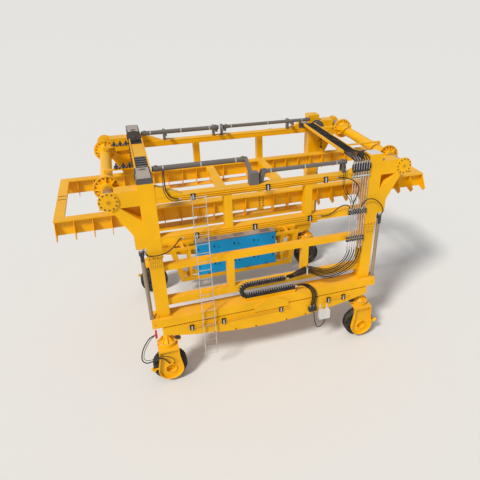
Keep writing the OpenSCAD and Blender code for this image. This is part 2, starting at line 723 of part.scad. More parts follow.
module load_beam() {
    half = load_len / 2;
    out = load_w / 2;
    web_y = out - load_flange_w / 2;
    block([-half, out - load_flange_w, load_top - flange_t], [half, out, load_top]);
    block([-half, web_y - web_t / 2, load_top - web_h], [half, web_y + web_t / 2, load_top - flange_t + 1]);
    // Lower strip under the ribs
    block([strip_left, out - load_flange_w - 40, strip_z], [strip_right, out, strip_z + strip_t]);
}
module load_beams() {
    color(yellow) for (far = [0, 1]) mirror([0, 1 - far, 0]) load_beam();
}
module load_ribs() {
    color(yellow) for (far = [0, 1]) mirror([0, 1 - far, 0]) difference() {
        for (side = [-1, 1], i = [0 : rib_count - 1]) load_rib(side * (load_len / 2 - 20 - i * rib_pitch), far);
        load_beam();
    }
}
tie_w = 280;
tie_x = 1000;
module load_ties() {
    inner = load_w / 2 - load_flange_w;
    half = load_len / 2;
    color(yellow) {
        for (s = [-1, 1]) {
            // End beams with their own ribs, and the cross members
            block([s * (half - tie_w / 2) - tie_w / 2, -inner, load_top - flange_t],
                [s * (half - tie_w / 2) + tie_w / 2, inner, load_top]);
            block([s * (half - tie_w / 2) - 12, -inner, load_top - web_h],
                [s * (half - tie_w / 2) + 12, inner, load_top - flange_t + 1]);
            block([s * tie_x - tie_w / 2, -inner, load_top - 200], [s * tie_x + tie_w / 2, inner, load_top]);
            // Lifting lugs outside the long beams
            for (side = [-1, 1])
                translate([s * (column_x + chain_x), side * (load_w + lug_len) / 2, load_top - 120])
                    block([-40, -lug_len / 2, 0], [40, lug_len / 2, lug_top - load_top + 120]);
        }
    }
}
lug_len = half_gauge - sheave_y + 40 - load_w / 2;

// Telescopic cross tubes with ribbed cone flanges
cone_len = 200;
bore_len = 160;
hub_r = 190;
hub_out = 110;
lip = 50;
module cross_tubes() {
    bore_r = shaft_r + slide_gap;
    inner_r = tube_r - 18;
    hub_end = tube_half + hub_out;
    color(yellow) for (side = [-1, 1]) translate([side * (column_x + tube_x), 0, tube_z]) rotate([-90, 0, 0]) {
        rotate_extrude() polygon([[inner_r, bore_len - hub_end], [bore_r, bore_len - hub_end], [bore_r, -hub_end],
            [hub_r, -hub_end], [hub_r, lip / 2 - tube_half], [flange_r - 20, lip / 2 - tube_half],
            [flange_r - 20, -tube_half], [flange_r, -tube_half], [flange_r, lip - tube_half],
            [tube_r + 60, lip - tube_half], [tube_r, cone_len - tube_half],
            [tube_r, tube_half - cone_len], [tube_r + 60, tube_half - lip],
            [flange_r, tube_half - lip], [flange_r, tube_half], [flange_r - 20, tube_half],
            [flange_r - 20, tube_half - lip / 2], [hub_r, tube_half - lip / 2], [hub_r, hub_end],
            [bore_r, hub_end], [bore_r, hub_end - bore_len], [inner_r, hub_end - bore_len]]);
        for (end = [0, 1], turn = [0 : 45 : 315]) mirror([0, 0, end]) rotate([0, 0, turn]) slab(-8, 8) {
            polygon([[hub_r - 10, tube_half - lip / 2 - 1], [flange_r - 12, tube_half - lip / 2 - 1],
                [flange_r - 12, tube_half - 4], [hub_r - 10, tube_half + hub_out - 20]]);
            polygon([[tube_r - 9, tube_half - cone_len - 40], [tube_r + 14, tube_half - cone_len - 40],
                [flange_r - 60, tube_half - lip - 20], [flange_r - 60, tube_half - lip + 1],
                [tube_r - 9, tube_half - lip + 1]]);
        }
    }
}

// Cross trays between the column tops, hung from the cross tubes
tray_half = 1720;
hanger_y = 1100;
module cross_trays() {
    rail_h = 90;
    // Trays: x of the middle
    for (row = [-left_tray_x, right_tray_x]) translate([row, 0, 0]) {
        color(yellow) {
            for (side = [-1, 1])
                block([side * (tray_w / 2 - 20) - 20, -tray_half, tray_z + seat_gap],
                    [side * (tray_w / 2 - 20) + 20, tray_half, tray_z + rail_h]);
            for (y = [-tray_half + 60 : 230 : tray_half - 160])
                block([-tray_w / 2 + 39, y, tray_z + 30], [tray_w / 2 - 39, y + 120, tray_z + 50]);
        }
    }
    // Hangers from the tubes to the trays
    color(yellow) for (y = [-hanger_y, hanger_y]) {
        block([-column_x - tube_x, y - 40, tray_z + 30],
            [-left_tray_x - tray_w / 2 - seat_gap, y + 40, tray_z + 70]);
        block([-column_x - tube_x - 40, y - 40, tube_z + tube_r], [-column_x - tube_x + 40, y + 40, tray_z + 70]);
        block([right_tray_x + tray_w / 2 + seat_gap, y - 40, tray_z + 30], [column_x + tube_x, y + 40, tray_z + 70]);
        block([column_x + tube_x - 40, y - 40, tube_z + tube_r], [column_x + tube_x + 40, y + 40, tray_z + 70]);
    }
}

// Wheel units, drawn with the steering axis at x = y = 0 and the outer face towards -Y
fork_out = 360;
web_y0 = 245;
fork_web = 25;
fork_rim = 30;
dish_r = 410;
cup_r = 185;
axle_r = 70;
fork_half = 325;
cup_in = 180;
cup_wall = 20;
module fork_outline(inset) {
    union() {
        circle(r = dish_r - inset);
        polygon([[-fork_half + inset, fork_top - tyre_r - inset / 2], [-fork_half + inset, 520],
            [-dish_r + inset + 4, 60], [-dish_r + inset, 0], [dish_r - inset, 0], [dish_r - inset - 4, 60],
            [fork_half - inset, 520], [fork_half - inset, fork_top - tyre_r - inset / 2]]);
    }
}
module fork() {
    color(yellow) {
        // Top plate under the slewing ring
        block([-fork_half, -fork_out, fork_top - fork_plate_t], [fork_half, ring_r, fork_top]);
        translate([0, 0, tyre_r]) {
            slab(-web_y0 - fork_web, -web_y0) difference() {
                fork_outline(0);
                circle(r = cup_r - cup_wall);
            }
            slab(-fork_out, -web_y0 - fork_web + 1) difference() {
                fork_outline(0);
                fork_outline(fork_rim);
            }
            // Open hub cup through the web
            slab(-web_y0 - fork_web - 40, -cup_in) difference() {
                circle(r = cup_r);
                circle(r = cup_r - cup_wall);
            }
            slab(-cup_in - 15, -cup_in) circle(r = cup_r - 1);
        }
        // Stiffeners between the plate and the leg
        for (s = [-1, 1]) slab_x(s * (fork_half - 60) - 10, s * (fork_half - 60) + 10)
            polygon([[-web_y0 - 1, fork_top - fork_plate_t + 1], [-web_y0 - 1, tyre_r + 640],
                [-web_y0 + 40, tyre_r + 640], [40, fork_top - fork_plate_t + 1]]);
    }
    color(steel) bar_y([0, -cup_in - 1, tyre_r], cup_in + 60, axle_r);
    color(black) bar_z([0, 0, fork_top - 0.5], ring_t + 0.5, ring_r);
}
module rim() {
    half = tyre_w / 2;
    color(yellow) translate([0, 0, tyre_r]) rotate([-90, 0, 0]) {
        rotate_extrude() polygon([[axle_r + slide_gap, -150], [150, -150], [150, -40], [rim_r - 26, -10],
            [rim_r - 26, -half + 18], [rim_r, -half + 18], [rim_r, half - 18], [rim_r - 26, half - 18],
            [rim_r - 26, 20], [130, 10], [130, 90], [axle_r + slide_gap, 90]]);
    }
}
module tyre() {
    half = tyre_w / 2;
    color(black) translate([0, 0, tyre_r]) rotate([-90, 0, 0]) rotate_extrude($fn = 64) polygon([
        [rim_r, -half + 20], [rim_r + 25, -half + 8], [rim_r + 110, -half], [tyre_r - 60, -half + 6],
        [tyre_r - 14, -half + 26], [tyre_r, -half + 60], [tyre_r, half - 60], [tyre_r - 14, half - 26], [tyre_r - 60, half - 6],
        [rim_r + 110, half], [rim_r + 25, half - 8], [rim_r, half - 20]]);
}
// Places a wheel unit at its corner
module at_corner(far, left) {
    mirror([left, 0, 0]) at_side(far) translate([column_x, -steer_y, 0]) children();
}

cross_tubes();
cross_trays();
at_side(0) columns();  // columns_near
at_side(0) rails();  // rails_near
at_side(0) hoods();  // hoods_near
at_side(0) hoist_cylinders_near();
at_side(0) shafts();  // shafts_near
at_side(0) lift_rods();  // lift_rods_near
at_side(0) chains(1);  // chains_near
at_side(0) chains(0);  // chains_near_right
at_side(0) ladder();
at_side(0) risers();
at_side(0) hose(cylinder_route, thin_hose_r, [1, 1, 1]);  // hose_cylinder
at_side(0) hose(lift_left_route, thin_hose_r);  // hose_lift_left
at_side(0) hose(lift_right_route, thin_hose_r, [1, 1, 1]);  // hose_lift_right
at_side(0) hose(top_route, thin_hose_r);  // hose_top
at_side(0) hose(middle_route, thin_hose_r);  // hose_middle
at_side(1) columns();  // columns_far
at_side(1) rails();  // rails_far
at_side(1) hoods();  // hoods_far
at_side(1) hoist_cylinders_far();
at_side(1) shafts();  // shafts_far
at_side(1) lift_rods();  // lift_rods_far
at_side(1) chains(1);  // chains_far
at_side(1) chains(0);  // chains_far_right
at_side(0) legs();  // legs_near
at_side(0) truss(0);  // truss_near
at_side(0) sill(0);  // sill_near
at_side(0) wheel_beam();  // wheel_beam_near
at_side(0) lift_barrels();  // lift_barrels_near
at_side(0) energy_chain();
at_side(0) junction_box();
at_side(0) hose(main_routes[0], hose_r);  // hose_main_1
at_side(0) hose(main_routes[1], hose_r);  // hose_main_2
at_side(0) hose(main_routes[2], hose_r);  // hose_main_3
at_side(0) hose(sill_routes[0], hose_r);  // hose_sill_1
at_side(0) hose(sill_routes[1], hose_r);  // hose_sill_2
at_side(0) hose(loop_route, thin_hose_r);  // hose_loop
at_side(1) legs();  // legs_far
at_side(1) truss(1);  // truss_far
at_side(1) sill(1);  // sill_far
at_side(1) wheel_beam();  // wheel_beam_far
at_side(1) lift_barrels();  // lift_barrels_far
at_side(1) cradle();
at_side(1) power_pack();
load_beams();
load_ribs();
load_ties();
at_corner(0, 1) fork();  // fork_near_left
at_corner(0, 0) fork();  // fork_near_right
at_corner(1, 1) fork();  // fork_far_left
at_corner(1, 0) fork();  // fork_far_right
at_corner(0, 1) rim();  // rim_near_left
at_corner(0, 0) rim();  // rim_near_right
at_corner(1, 1) rim();  // rim_far_left
at_corner(1, 0) rim();  // rim_far_right
at_corner(0, 1) tyre();  // tyre_near_left
at_corner(0, 0) tyre();  // tyre_near_right
at_corner(1, 1) tyre();  // tyre_far_left
at_corner(1, 0) tyre();  // tyre_far_right
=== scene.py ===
# %% [markdown]
# # A telescopic straddle carrier
# A straddle carrier is a tall frame on steered wheels that drives over a load and lifts it between its legs.
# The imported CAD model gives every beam, wheel and joint at its real size. This script gives each surface its
# finish, adds the small parts that a builder would bolt on last, and sets up the light and the camera.

# %% Load the frame
import math

import bpy
import bmesh
from mathutils import Matrix, Vector


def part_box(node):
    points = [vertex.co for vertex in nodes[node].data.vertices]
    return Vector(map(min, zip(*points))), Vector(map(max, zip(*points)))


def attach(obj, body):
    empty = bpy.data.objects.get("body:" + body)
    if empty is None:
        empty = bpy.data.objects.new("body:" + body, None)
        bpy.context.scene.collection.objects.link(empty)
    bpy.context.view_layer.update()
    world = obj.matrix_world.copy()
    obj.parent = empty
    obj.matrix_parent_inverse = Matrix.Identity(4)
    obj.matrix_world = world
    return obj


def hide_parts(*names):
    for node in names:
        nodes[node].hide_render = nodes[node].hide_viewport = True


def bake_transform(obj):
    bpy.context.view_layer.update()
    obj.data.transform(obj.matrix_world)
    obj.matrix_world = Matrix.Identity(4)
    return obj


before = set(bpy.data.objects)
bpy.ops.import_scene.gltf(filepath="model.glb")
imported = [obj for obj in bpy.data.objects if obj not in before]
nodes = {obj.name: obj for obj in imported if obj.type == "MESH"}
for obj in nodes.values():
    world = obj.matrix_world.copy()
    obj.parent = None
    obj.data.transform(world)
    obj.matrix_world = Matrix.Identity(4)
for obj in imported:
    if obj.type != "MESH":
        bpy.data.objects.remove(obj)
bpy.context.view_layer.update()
scene = bpy.context.scene

# %% [markdown]
# The camera stands high on the near side, as someone on a workshop gallery would. Its place was found by
# matching the corners of the columns, beams and wheels to the photograph. The lens is a moderate wide angle,
# and a small shift keeps the machine where the photograph has it.

# %% Camera
camera_place = Vector((-3.882, -14.717, 11.806))
camera_yaw = math.radians(19.027)
camera_pitch = math.radians(28.843)
camera_roll = math.radians(0.335)
ahead = Vector((math.sin(camera_yaw) * math.cos(camera_pitch),
                math.cos(camera_yaw) * math.cos(camera_pitch),
                -math.sin(camera_pitch)))
level_right = Vector((math.cos(camera_yaw), -math.sin(camera_yaw), 0))
level_up = level_right.cross(ahead)
right = level_right * math.cos(camera_roll) + level_up * math.sin(camera_roll)
up = level_up * math.cos(camera_roll) - level_right * math.sin(camera_roll)
turn = Matrix((right, up, -ahead)).transposed()
camera_data = bpy.data.cameras.new("camera")
camera = bpy.data.objects.new("camera", camera_data)
scene.collection.objects.link(camera)
camera.matrix_world = Matrix.Translation(camera_place) @ turn.to_4x4()
camera_data.sensor_width = 36
camera_data.lens = 34.70
camera_data.shift_x = -0.0785
camera_data.shift_y = -0.0092
camera_data.clip_end = 2000
scene.camera = camera
print("camera looks along", [round(v, 3) for v in ahead])

# %% [markdown]
# Every finish is built from a few nodes. Paint on steel is never one flat tone: the coat is a little thicker
# here and thinner there, dust lies on what faces up, and rain leaves faint streaks down the sides. One
# function makes all the paints, so that they age in the same way, and each call gives its colour and wear.

# %% Helpers for the shader graphs
def new_material(name):
    """An empty material with its nodes and links."""
    material = bpy.data.materials.new(name)
    material.use_nodes = True
    return material, material.node_tree.nodes, material.node_tree.links


def noise(parts, links, coords, scale, detail=4, stretch=(1, 1, 1)):
    """A noise pattern on the piece's own coordinates, stretched along an axis where asked."""
    mapping = parts.new("ShaderNodeMapping")
    mapping.inputs["Scale"].default_value = stretch
    links.new(coords, mapping.inputs["Vector"])
    pattern = parts.new("ShaderNodeTexNoise")
    pattern.inputs["Scale"].default_value = scale
    pattern.inputs["Detail"].default_value = detail
    links.new(mapping.outputs["Vector"], pattern.inputs["Vector"])
    return pattern.outputs["Fac"]


def spread(parts, links, value, low, high, out_low=0.0, out_high=1.0):
    """Maps a pattern's range onto another one, and holds it there."""
    ramp = parts.new("ShaderNodeMapRange")
    ramp.inputs["From Min"].default_value = low
    ramp.inputs["From Max"].default_value = high
    ramp.inputs["To Min"].default_value = out_low
    ramp.inputs["To Max"].default_value = out_high
    links.new(value, ramp.inputs["Value"])
    return ramp.outputs["Result"]


def blend_colour(parts, links, factor, first, second):
    """Mixes two colours by a pattern; each colour is a tuple or the output of another node."""
    mix = parts.new("ShaderNodeMix")
    mix.data_type = "RGBA"
    links.new(factor, mix.inputs[0])
    for socket, colour in ((mix.inputs[6], first), (mix.inputs[7], second)):
        if isinstance(colour, tuple):
            socket.default_value = (*colour, 1)
        else:
            links.new(colour, socket)
    return mix.outputs[2]


def add_bump(parts, links, shader, height, strength, distance):
    """A faint relief on the shader's normal."""
    bump = parts.new("ShaderNodeBump")
    bump.inputs["Strength"].default_value = strength
    bump.inputs["Distance"].default_value = distance
    links.new(height, bump.inputs["Height"])
    links.new(bump.outputs["Normal"], shader.inputs["Normal"])


print("shader helpers ready")

# %% Paints
def paint(name, colour, rough=0.36, wear=0.5, dust=(0.48, 0.41, 0.32), coat=0.15, settled=0.0):
    """Gloss paint with uneven tone, rain streaks, dust settled on top faces and a faint orange peel."""
    material, parts, links = new_material(name)
    shader = parts["Principled BSDF"]
    coords = parts.new("ShaderNodeTexCoord")
    place = coords.outputs["Object"]
    cloudy = noise(parts, links, place, 0.9, 5)
    tone = spread(parts, links, cloudy, 0.35, 0.68)
    dark = tuple(c * 0.86 for c in colour)
    base = blend_colour(parts, links, tone, dark, colour)
    streaks = noise(parts, links, place, 7.0, 3, (1, 1, 0.06))
    streaky = spread(parts, links, streaks, 0.56, 0.78, 0.0, 0.22 * wear)
    grime = tuple(c * 0.45 for c in dust)
    base = blend_colour(parts, links, streaky, base, grime)
    specks = noise(parts, links, place, 42.0, 2)
    chips = spread(parts, links, specks, 0.70, 0.74, 0.0, 0.5 * wear)
    base = blend_colour(parts, links, chips, base, tuple(c * 0.5 for c in colour))
    split = parts.new("ShaderNodeSeparateXYZ")
    links.new(coords.outputs["Normal"], split.inputs[0])
    facing_up = spread(parts, links, split.outputs["Z"], 0.5, 1.0)
    patches = spread(parts, links, noise(parts, links, place, 2.6, 6), 0.38, 0.7, 0.05 + settled,
                     0.42 * wear + settled)
    amount = parts.new("ShaderNodeMath")
    amount.operation = "MULTIPLY"
    links.new(facing_up, amount.inputs[0])
    links.new(patches, amount.inputs[1])
    base = blend_colour(parts, links, amount.outputs[0], base, dust)
    links.new(base, shader.inputs["Base Color"])
    dull = spread(parts, links, cloudy, 0.3, 0.7, rough + 0.12 * wear, rough - 0.05)
    links.new(dull, shader.inputs["Roughness"])
    add_bump(parts, links, shader, noise(parts, links, place, 90.0, 2), 0.05, 0.002)
    shader.inputs["Coat Weight"].default_value = coat
    shader.inputs["Specular IOR Level"].default_value = 0.22
    return material


yellow_paint = paint("yellow_paint", (0.94, 0.47, 0.0), wear=0.3, coat=0.03)
grey_paint = paint("grey_paint", (0.095, 0.09, 0.09), rough=0.42, wear=0.6, dust=(0.50, 0.42, 0.36),
                   settled=0.6)
cylinder_paint = paint("cylinder_paint", (0.15, 0.135, 0.125), rough=0.38, wear=0.5)
barrel_paint = paint("barrel_paint", (0.33, 0.26, 0.18), rough=0.45, wear=0.8)
dark_paint = paint("dark_paint", (0.045, 0.043, 0.04), rough=0.45, wear=0.5)
blue_paint = paint("blue_paint", (0.004, 0.36, 0.78), rough=0.34, wear=0.3, coat=0.05)
white_paint = paint("white_paint", (0.72, 0.71, 0.68), rough=0.4, wear=0.5)
red_paint = paint("red_paint", (0.62, 0.02, 0.02), rough=0.35, wear=0.3)
print("paints:", [m.name for m in bpy.data.materials if "paint" in m.name])

# %% [markdown]
# Bare metal shines along its grain. The sliding shafts and the cylinder rods are ground and polished, so they
# mirror the hall in a narrow band; the pipes, ladder and bolts are zinc plated and duller. Both come from one
# function with a fine stretched noise in the roughness.

# %% Metals
def metal(name, colour, rough, grain=(1, 1, 14)):
    """Ground or plated steel: full metal, with a fine grain in the gloss."""
    material, parts, links = new_material(name)
    shader = parts["Principled BSDF"]
    coords = parts.new("ShaderNodeTexCoord")
    place = coords.outputs["Object"]
    shader.inputs["Metallic"].default_value = 1.0
    stain = spread(parts, links, noise(parts, links, place, 3.0, 5), 0.4, 0.75)
    base = blend_colour(parts, links, stain, colour, tuple(c * 0.68 for c in colour))
    links.new(base, shader.inputs["Base Color"])
    fine = noise(parts, links, place, 60.0, 3, grain)
    links.new(spread(parts, links, fine, 0.3, 0.7, rough - 0.06, rough + 0.1), shader.inputs["Roughness"])
    add_bump(parts, links, shader, fine, 0.04, 0.001)
    return material


polished_steel = metal("polished_steel", (0.80, 0.80, 0.80), 0.24)
zinc_plate = metal("zinc_plate", (0.74, 0.73, 0.71), 0.42, (1, 1, 1))
dark_steel = metal("dark_steel", (0.16, 0.13, 0.10), 0.5, (1, 1, 1))
chain_steel = metal("chain_steel", (0.13, 0.12, 0.11), 0.5, (1, 1, 1))
print("metals: 4")

# %% [markdown]
# Rubber and plastic scatter light softly. The tyres carry pale dust in their grooves, which tells a
# viewer at once that the machine has been driven. The hoses are smoother and darker, with a faint sheen.

# %% Rubber and plastic
def rubber(name, colour, rough, dusty, dust=(0.33, 0.29, 0.24)):
    """Matte black with dust that settles in soft patches."""
    material, parts, links = new_material(name)
    shader = parts["Principled BSDF"]
    coords = parts.new("ShaderNodeTexCoord")
    place = coords.outputs["Object"]
    patchy = spread(parts, links, noise(parts, links, place, 5.0, 6), 0.38, 0.72, 0.0, dusty)
    base = blend_colour(parts, links, patchy, colour, dust)
    links.new(base, shader.inputs["Base Color"])
    fine = noise(parts, links, place, 130.0, 3)
    links.new(spread(parts, links, fine, 0.3, 0.7, rough - 0.08, rough + 0.08), shader.inputs["Roughness"])
    add_bump(parts, links, shader, fine, 0.15, 0.002)
    shader.inputs["Specular IOR Level"].default_value = 0.25
    return material


tyre_rubber = rubber("tyre_rubber", (0.014, 0.013, 0.012), 0.72, 0.25)
hose_rubber = rubber("hose_rubber", (0.007, 0.007, 0.007), 0.42, 0.05)
chain_plastic = rubber("chain_plastic", (0.009, 0.009, 0.010), 0.5, 0.12)
# The cross bars' pale grey is a painted highlight: it stands for the glint along the energy chain's bars.
highlight_bar_plastic = rubber("highlight_bar_plastic", (0.34, 0.35, 0.36), 0.5, 0.4)
print("rubbers: 4")

# %% [markdown]
# Each CAD node keeps its shape and only changes its material. The table says which finish belongs to which
# kind of piece; the side and corner names that follow the kind make no difference to the finish.

# %% Finishes of the CAD nodes
finish_of = {
    "cross_tubes": yellow_paint, "cross_trays": yellow_paint, "columns": yellow_paint, "rails": yellow_paint,
    "hoods": grey_paint, "hoist_cylinders": cylinder_paint, "shafts": polished_steel,
    "lift_rods": polished_steel, "chains": chain_steel, "ladder": zinc_plate, "risers": zinc_plate,
    "legs": yellow_paint, "truss": yellow_paint, "sill": yellow_paint, "wheel_beam": yellow_paint,
    "lift_barrels": barrel_paint, "energy_chain": chain_plastic, "junction_box": white_paint,
    "hose": hose_rubber, "cradle": yellow_paint, "power_pack": blue_paint, "load_beams": yellow_paint,
    "load_ribs": yellow_paint, "load_ties": yellow_paint, "fork": yellow_paint, "rim": grey_paint,
    "tyre": tyre_rubber,
}
for name, piece in nodes.items():
    kind = next(k for k in sorted(finish_of, key=len, reverse=True) if name.startswith(k))
    piece.data.materials.clear()
    piece.data.materials.append(finish_of[kind])
print("finished nodes:", len(nodes))

# %% [markdown]
# The added parts are small solids: blocks, bars and bolts. Each helper puts one such shape into an open
# bmesh with Blender's own operators, so a whole set of like parts becomes one mesh and one object.

# %% Blocks, bars and bolts
def block(bm, low, high, turned=None):
    """A box between two corners; turned is a matrix applied after it is placed."""
    middle = [(a + b) / 2 for a, b in zip(low, high)]
    size = [abs(b - a) for a, b in zip(low, high)]
    place = Matrix.Translation(middle) @ Matrix.Diagonal((*size, 1))
    if turned is not None:
        place = turned @ place
    bmesh.ops.create_cube(bm, size=1, matrix=place)


def bar(bm, start, end, radius, sides=16, end_radius=None):
    """A round bar or cone between two points."""
    start, end = Vector(start), Vector(end)
    along = end - start
    place = Matrix.Translation((start + end) / 2) @ along.to_track_quat("Z", "Y").to_matrix().to_4x4()
    tip = radius if end_radius is None else end_radius
    bmesh.ops.create_cone(bm, cap_ends=True, segments=sides, radius1=radius, radius2=tip,
                          depth=along.length, matrix=place)


def bolts(bm, places, axis, radius=0.013, height=0.012):
    """Hexagon heads standing on a face, with a washer under each."""
    axis = Vector(axis)
    for place in places:
        place = Vector(place)
        bar(bm, place - axis * 0.001, place + axis * 0.003, radius * 1.5, 12)
        bar(bm, place, place + axis * height, radius, 6)


def ring_of(centre, radius, count, axis, start=0.0):
    """Points on a circle about an axis that is Y or Z."""
    points = []
    for i in range(count):
        a = start + 2 * math.pi * i / count
        c, s = radius * math.cos(a), radius * math.sin(a)
        offset = (c, 0, s) if axis == "Y" else (c, s, 0)
        points.append(Vector(centre) + Vector(offset))
    return points


print("shape helpers ready")

# %% [markdown]
# A finished bmesh becomes a mesh and an object. Its faces are turned outwards first, because some operators
# leave them inside out. Edges sharper than an angle stay sharp, and a small bevel lets the others catch the
# light as a painted or moulded edge does.

# %% From a bmesh to a piece
def add_piece(name, bm, material, body, bevel=0.0, smooth=35):
    """Closes the bmesh and makes it a piece that rides on a body."""
    bmesh.ops.recalc_face_normals(bm, faces=bm.faces)
    mesh = bpy.data.meshes.new(name)
    bm.to_mesh(mesh)
    bm.free()
    mesh.materials.append(material)
    piece = bpy.data.objects.new(name, mesh)
    scene.collection.objects.link(piece)
    if bevel:
        soften = piece.modifiers.new("soften", "BEVEL")
        soften.width = bevel
        soften.segments = 2
        soften.limit_method = "ANGLE"
        soften.angle_limit = math.radians(40)
    mesh.shade_smooth()
    mesh.set_sharp_from_angle(angle=math.radians(smooth))
    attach(piece, body)
    return piece


print("piece helper ready")

# %% [markdown]
# A pipe or a hose is round along a line. It could be a circle extruded from point to point, but a curve with
# a bevel depth makes that section by itself. The curve is made a mesh at once, so that it exports as it
# looks. A hose passes smoothly through a few points that were chosen on the photograph.

# %% Pipes and curved paths
def tube(name, runs, radius, material, body, sides=4):
    """Pipes or hoses: each run is a list of points, made a mesh. With no body, it is attached to none."""
    curve = bpy.data.curves.new(name, "CURVE")
    curve.dimensions = "3D"
    curve.bevel_depth = radius
    curve.bevel_resolution = sides
    curve.use_fill_caps = True
    for points in runs:
        line = curve.splines.new("POLY")
        line.points.add(len(points) - 1)
        for spot, point in zip(line.points, points):
            spot.co = (*point, 1)
    drawn = bpy.data.objects.new(name + "_line", curve)
    scene.collection.objects.link(drawn)
    mesh = bpy.data.meshes.new_from_object(drawn)
    bpy.data.objects.remove(drawn)
    mesh.name = name
    mesh.materials.clear()
    mesh.materials.append(material)
    piece = bpy.data.objects.new(name, mesh)
    scene.collection.objects.link(piece)
    mesh.shade_smooth()
    if body:
        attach(piece, body)
    return piece


def curved(points, steps=8):
    """A smooth path through given points: each stretch is a cubic that also heeds its neighbours."""
    points = [Vector(p) for p in points]
    ends = [2 * points[0] - points[1]] + points + [2 * points[-1] - points[-2]]
    path = []
    for a, b, c, d in zip(ends, ends[1:], ends[2:], ends[3:]):
        for i in range(steps):
            t = i / steps
            path.append(0.5 * (2 * b + (c - a) * t + (2 * a - 5 * b + 4 * c - d) * t ** 2
                               + (3 * b - a - 3 * c + d) * t ** 3))
    return path + [points[-1]]


print("pipe helpers ready")

# %% [markdown]
# The added parts follow the CAD model. The height of the sill and the wheel beam's ends are read from its
# boxes. The other main places are the model's own measures: where the columns, the arms and the cross tubes
# stand, and the gauge, which is the distance of a side's middle from the middle of the machine.

# %% Main places
sill_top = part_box("legs_near")[0].z
wheel_beam_low, wheel_beam_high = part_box("wheel_beam_near")
column_x = 3.5
gauge = 2.505
arm_x = 4.5
tube_z = 6.65
sides = (("near", -1), ("far", 1))
ends = (("left", -1), ("right", 1))
corners = [(side, end, sy, sx) for side, sy in sides for end, sx in ends]
print("sill top", round(sill_top, 3), "wheel beam ends at", round(wheel_beam_high.x, 3))

# %% [markdown]
# Hydraulic hoses feed the moving columns and the energy chain. A hose is stiff for its length: it leaves its
# fitting straight, sags in one smooth curve and enters the next fitting straight again. Each hose follows the
# route of its CAD solid, given here in metres from the near column centres.

# %% Hose routes
hose_routes = {
    "hose_main_1": ("lower_near", 0.040, [
        (2.807, -0.245, 3.9296), (2.805, -0.240, 3.740), (2.690, -0.215, 3.450), (2.400, -0.205, 3.220),
        (2.060, -0.205, 3.150), (1.700, -0.205, 3.270), (1.340, -0.205, 3.410), (1.060, -0.200, 3.360),
        (0.800, -0.165, 3.210), (0.5804, -0.145, 3.160)]),
    "hose_main_2": ("lower_near", 0.040, [
        (2.981, -0.245, 3.9296), (2.975, -0.245, 3.700), (2.820, -0.250, 3.380), (2.460, -0.250, 3.120),
        (2.060, -0.250, 3.050), (1.700, -0.250, 3.190), (1.340, -0.250, 3.350), (1.060, -0.245, 3.310),
        (0.800, -0.208, 3.190), (0.5804, -0.188, 3.150)]),
    "hose_main_3": ("lower_near", 0.040, [
        (3.155, -0.245, 3.9296), (3.145, -0.250, 3.650), (2.950, -0.285, 3.290), (2.520, -0.295, 3.020),
        (2.060, -0.295, 2.950), (1.700, -0.295, 3.100), (1.340, -0.295, 3.290), (1.060, -0.288, 3.260),
        (0.800, -0.251, 3.170), (0.5804, -0.231, 3.140)]),
    "hose_sill_1": ("lower_near", 0.040, [
        (0.8904, -0.225, 2.740), (1.060, -0.250, 2.790), (1.280, -0.320, 2.790), (1.470, -0.395, 2.640),
        (1.560, -0.420, 2.400), (1.560, -0.420, 2.150), (1.520, -0.420, 1.9004)]),
    "hose_sill_2": ("lower_near", 0.040, [
        (0.8904, -0.160, 2.720), (1.060, -0.190, 2.745), (1.250, -0.280, 2.720), (1.400, -0.385, 2.590),
        (1.460, -0.420, 2.380), (1.450, -0.420, 2.130), (1.400, -0.420, 1.9004)]),
    "hose_loop": ("lower_near", 0.032, [
        (1.540, -0.420, 1.7396), (1.560, -0.420, 1.500), (1.600, -0.420, 1.200), (1.700, -0.420, 0.960),
        (1.850, -0.420, 0.960), (1.960, -0.420, 1.120), (1.980, -0.420, 1.3296)]),
    "hose_cylinder": ("side_near", 0.032, [
        (-2.930, 0.4796, 7.150), (-2.935, 0.400, 7.143), (-2.950, 0.250, 7.080), (-2.970, 0.040, 6.990),
        (-2.985, -0.150, 6.915), (-2.980, -0.265, 6.780), (-2.880, -0.270, 6.600), (-2.730, -0.252, 6.515),
        (-2.600, -0.232, 6.490)]),
    "hose_lift_left": ("side_near", 0.032, [
        (-3.760, -0.190, 5.0796), (-3.765, -0.225, 4.970), (-3.700, -0.285, 4.870), (-3.400, -0.300, 4.840),
        (-3.100, -0.290, 4.920), (-2.870, -0.260, 5.110), (-2.740, -0.235, 5.240), (-2.620, -0.232, 5.260)]),
    "hose_lift_right": ("side_near", 0.032, [
        (3.111, -0.245, 5.3304), (3.112, -0.262, 5.440), (3.170, -0.300, 5.590), (3.310, -0.315, 5.680),
        (3.500, -0.325, 5.650), (3.700, -0.335, 5.510), (3.820, -0.345, 5.350), (3.862, -0.345, 5.200),
        (3.865, -0.305, 5.090), (3.865, -0.2255, 5.050)]),
    "hose_top": ("side_near", 0.032, [
        (2.140, -0.232, 6.520), (2.370, -0.255, 6.510), (2.700, -0.300, 6.390), (2.920, -0.310, 6.120),
        (2.860, -0.310, 5.860), (2.790, -0.305, 5.640), (2.765, -0.262, 5.440), (2.763, -0.245, 5.3304)]),
    "hose_middle": ("side_near", 0.032, [
        (1.620, -0.232, 5.300), (1.850, -0.240, 5.270), (2.060, -0.250, 5.330), (2.250, -0.270, 5.490),
        (2.440, -0.280, 5.570), (2.600, -0.285, 5.540), (2.680, -0.262, 5.420), (2.683, -0.245, 5.3304)]),
}
print("hose routes:", len(hose_routes))


# %% Hoses and their ferrules
def hose(name, body, thick, path):
    """A free hose: a smooth tube on the path, as thick as given."""
    piece = tube(name, [path], thick / 2, hose_rubber, body)
    return piece


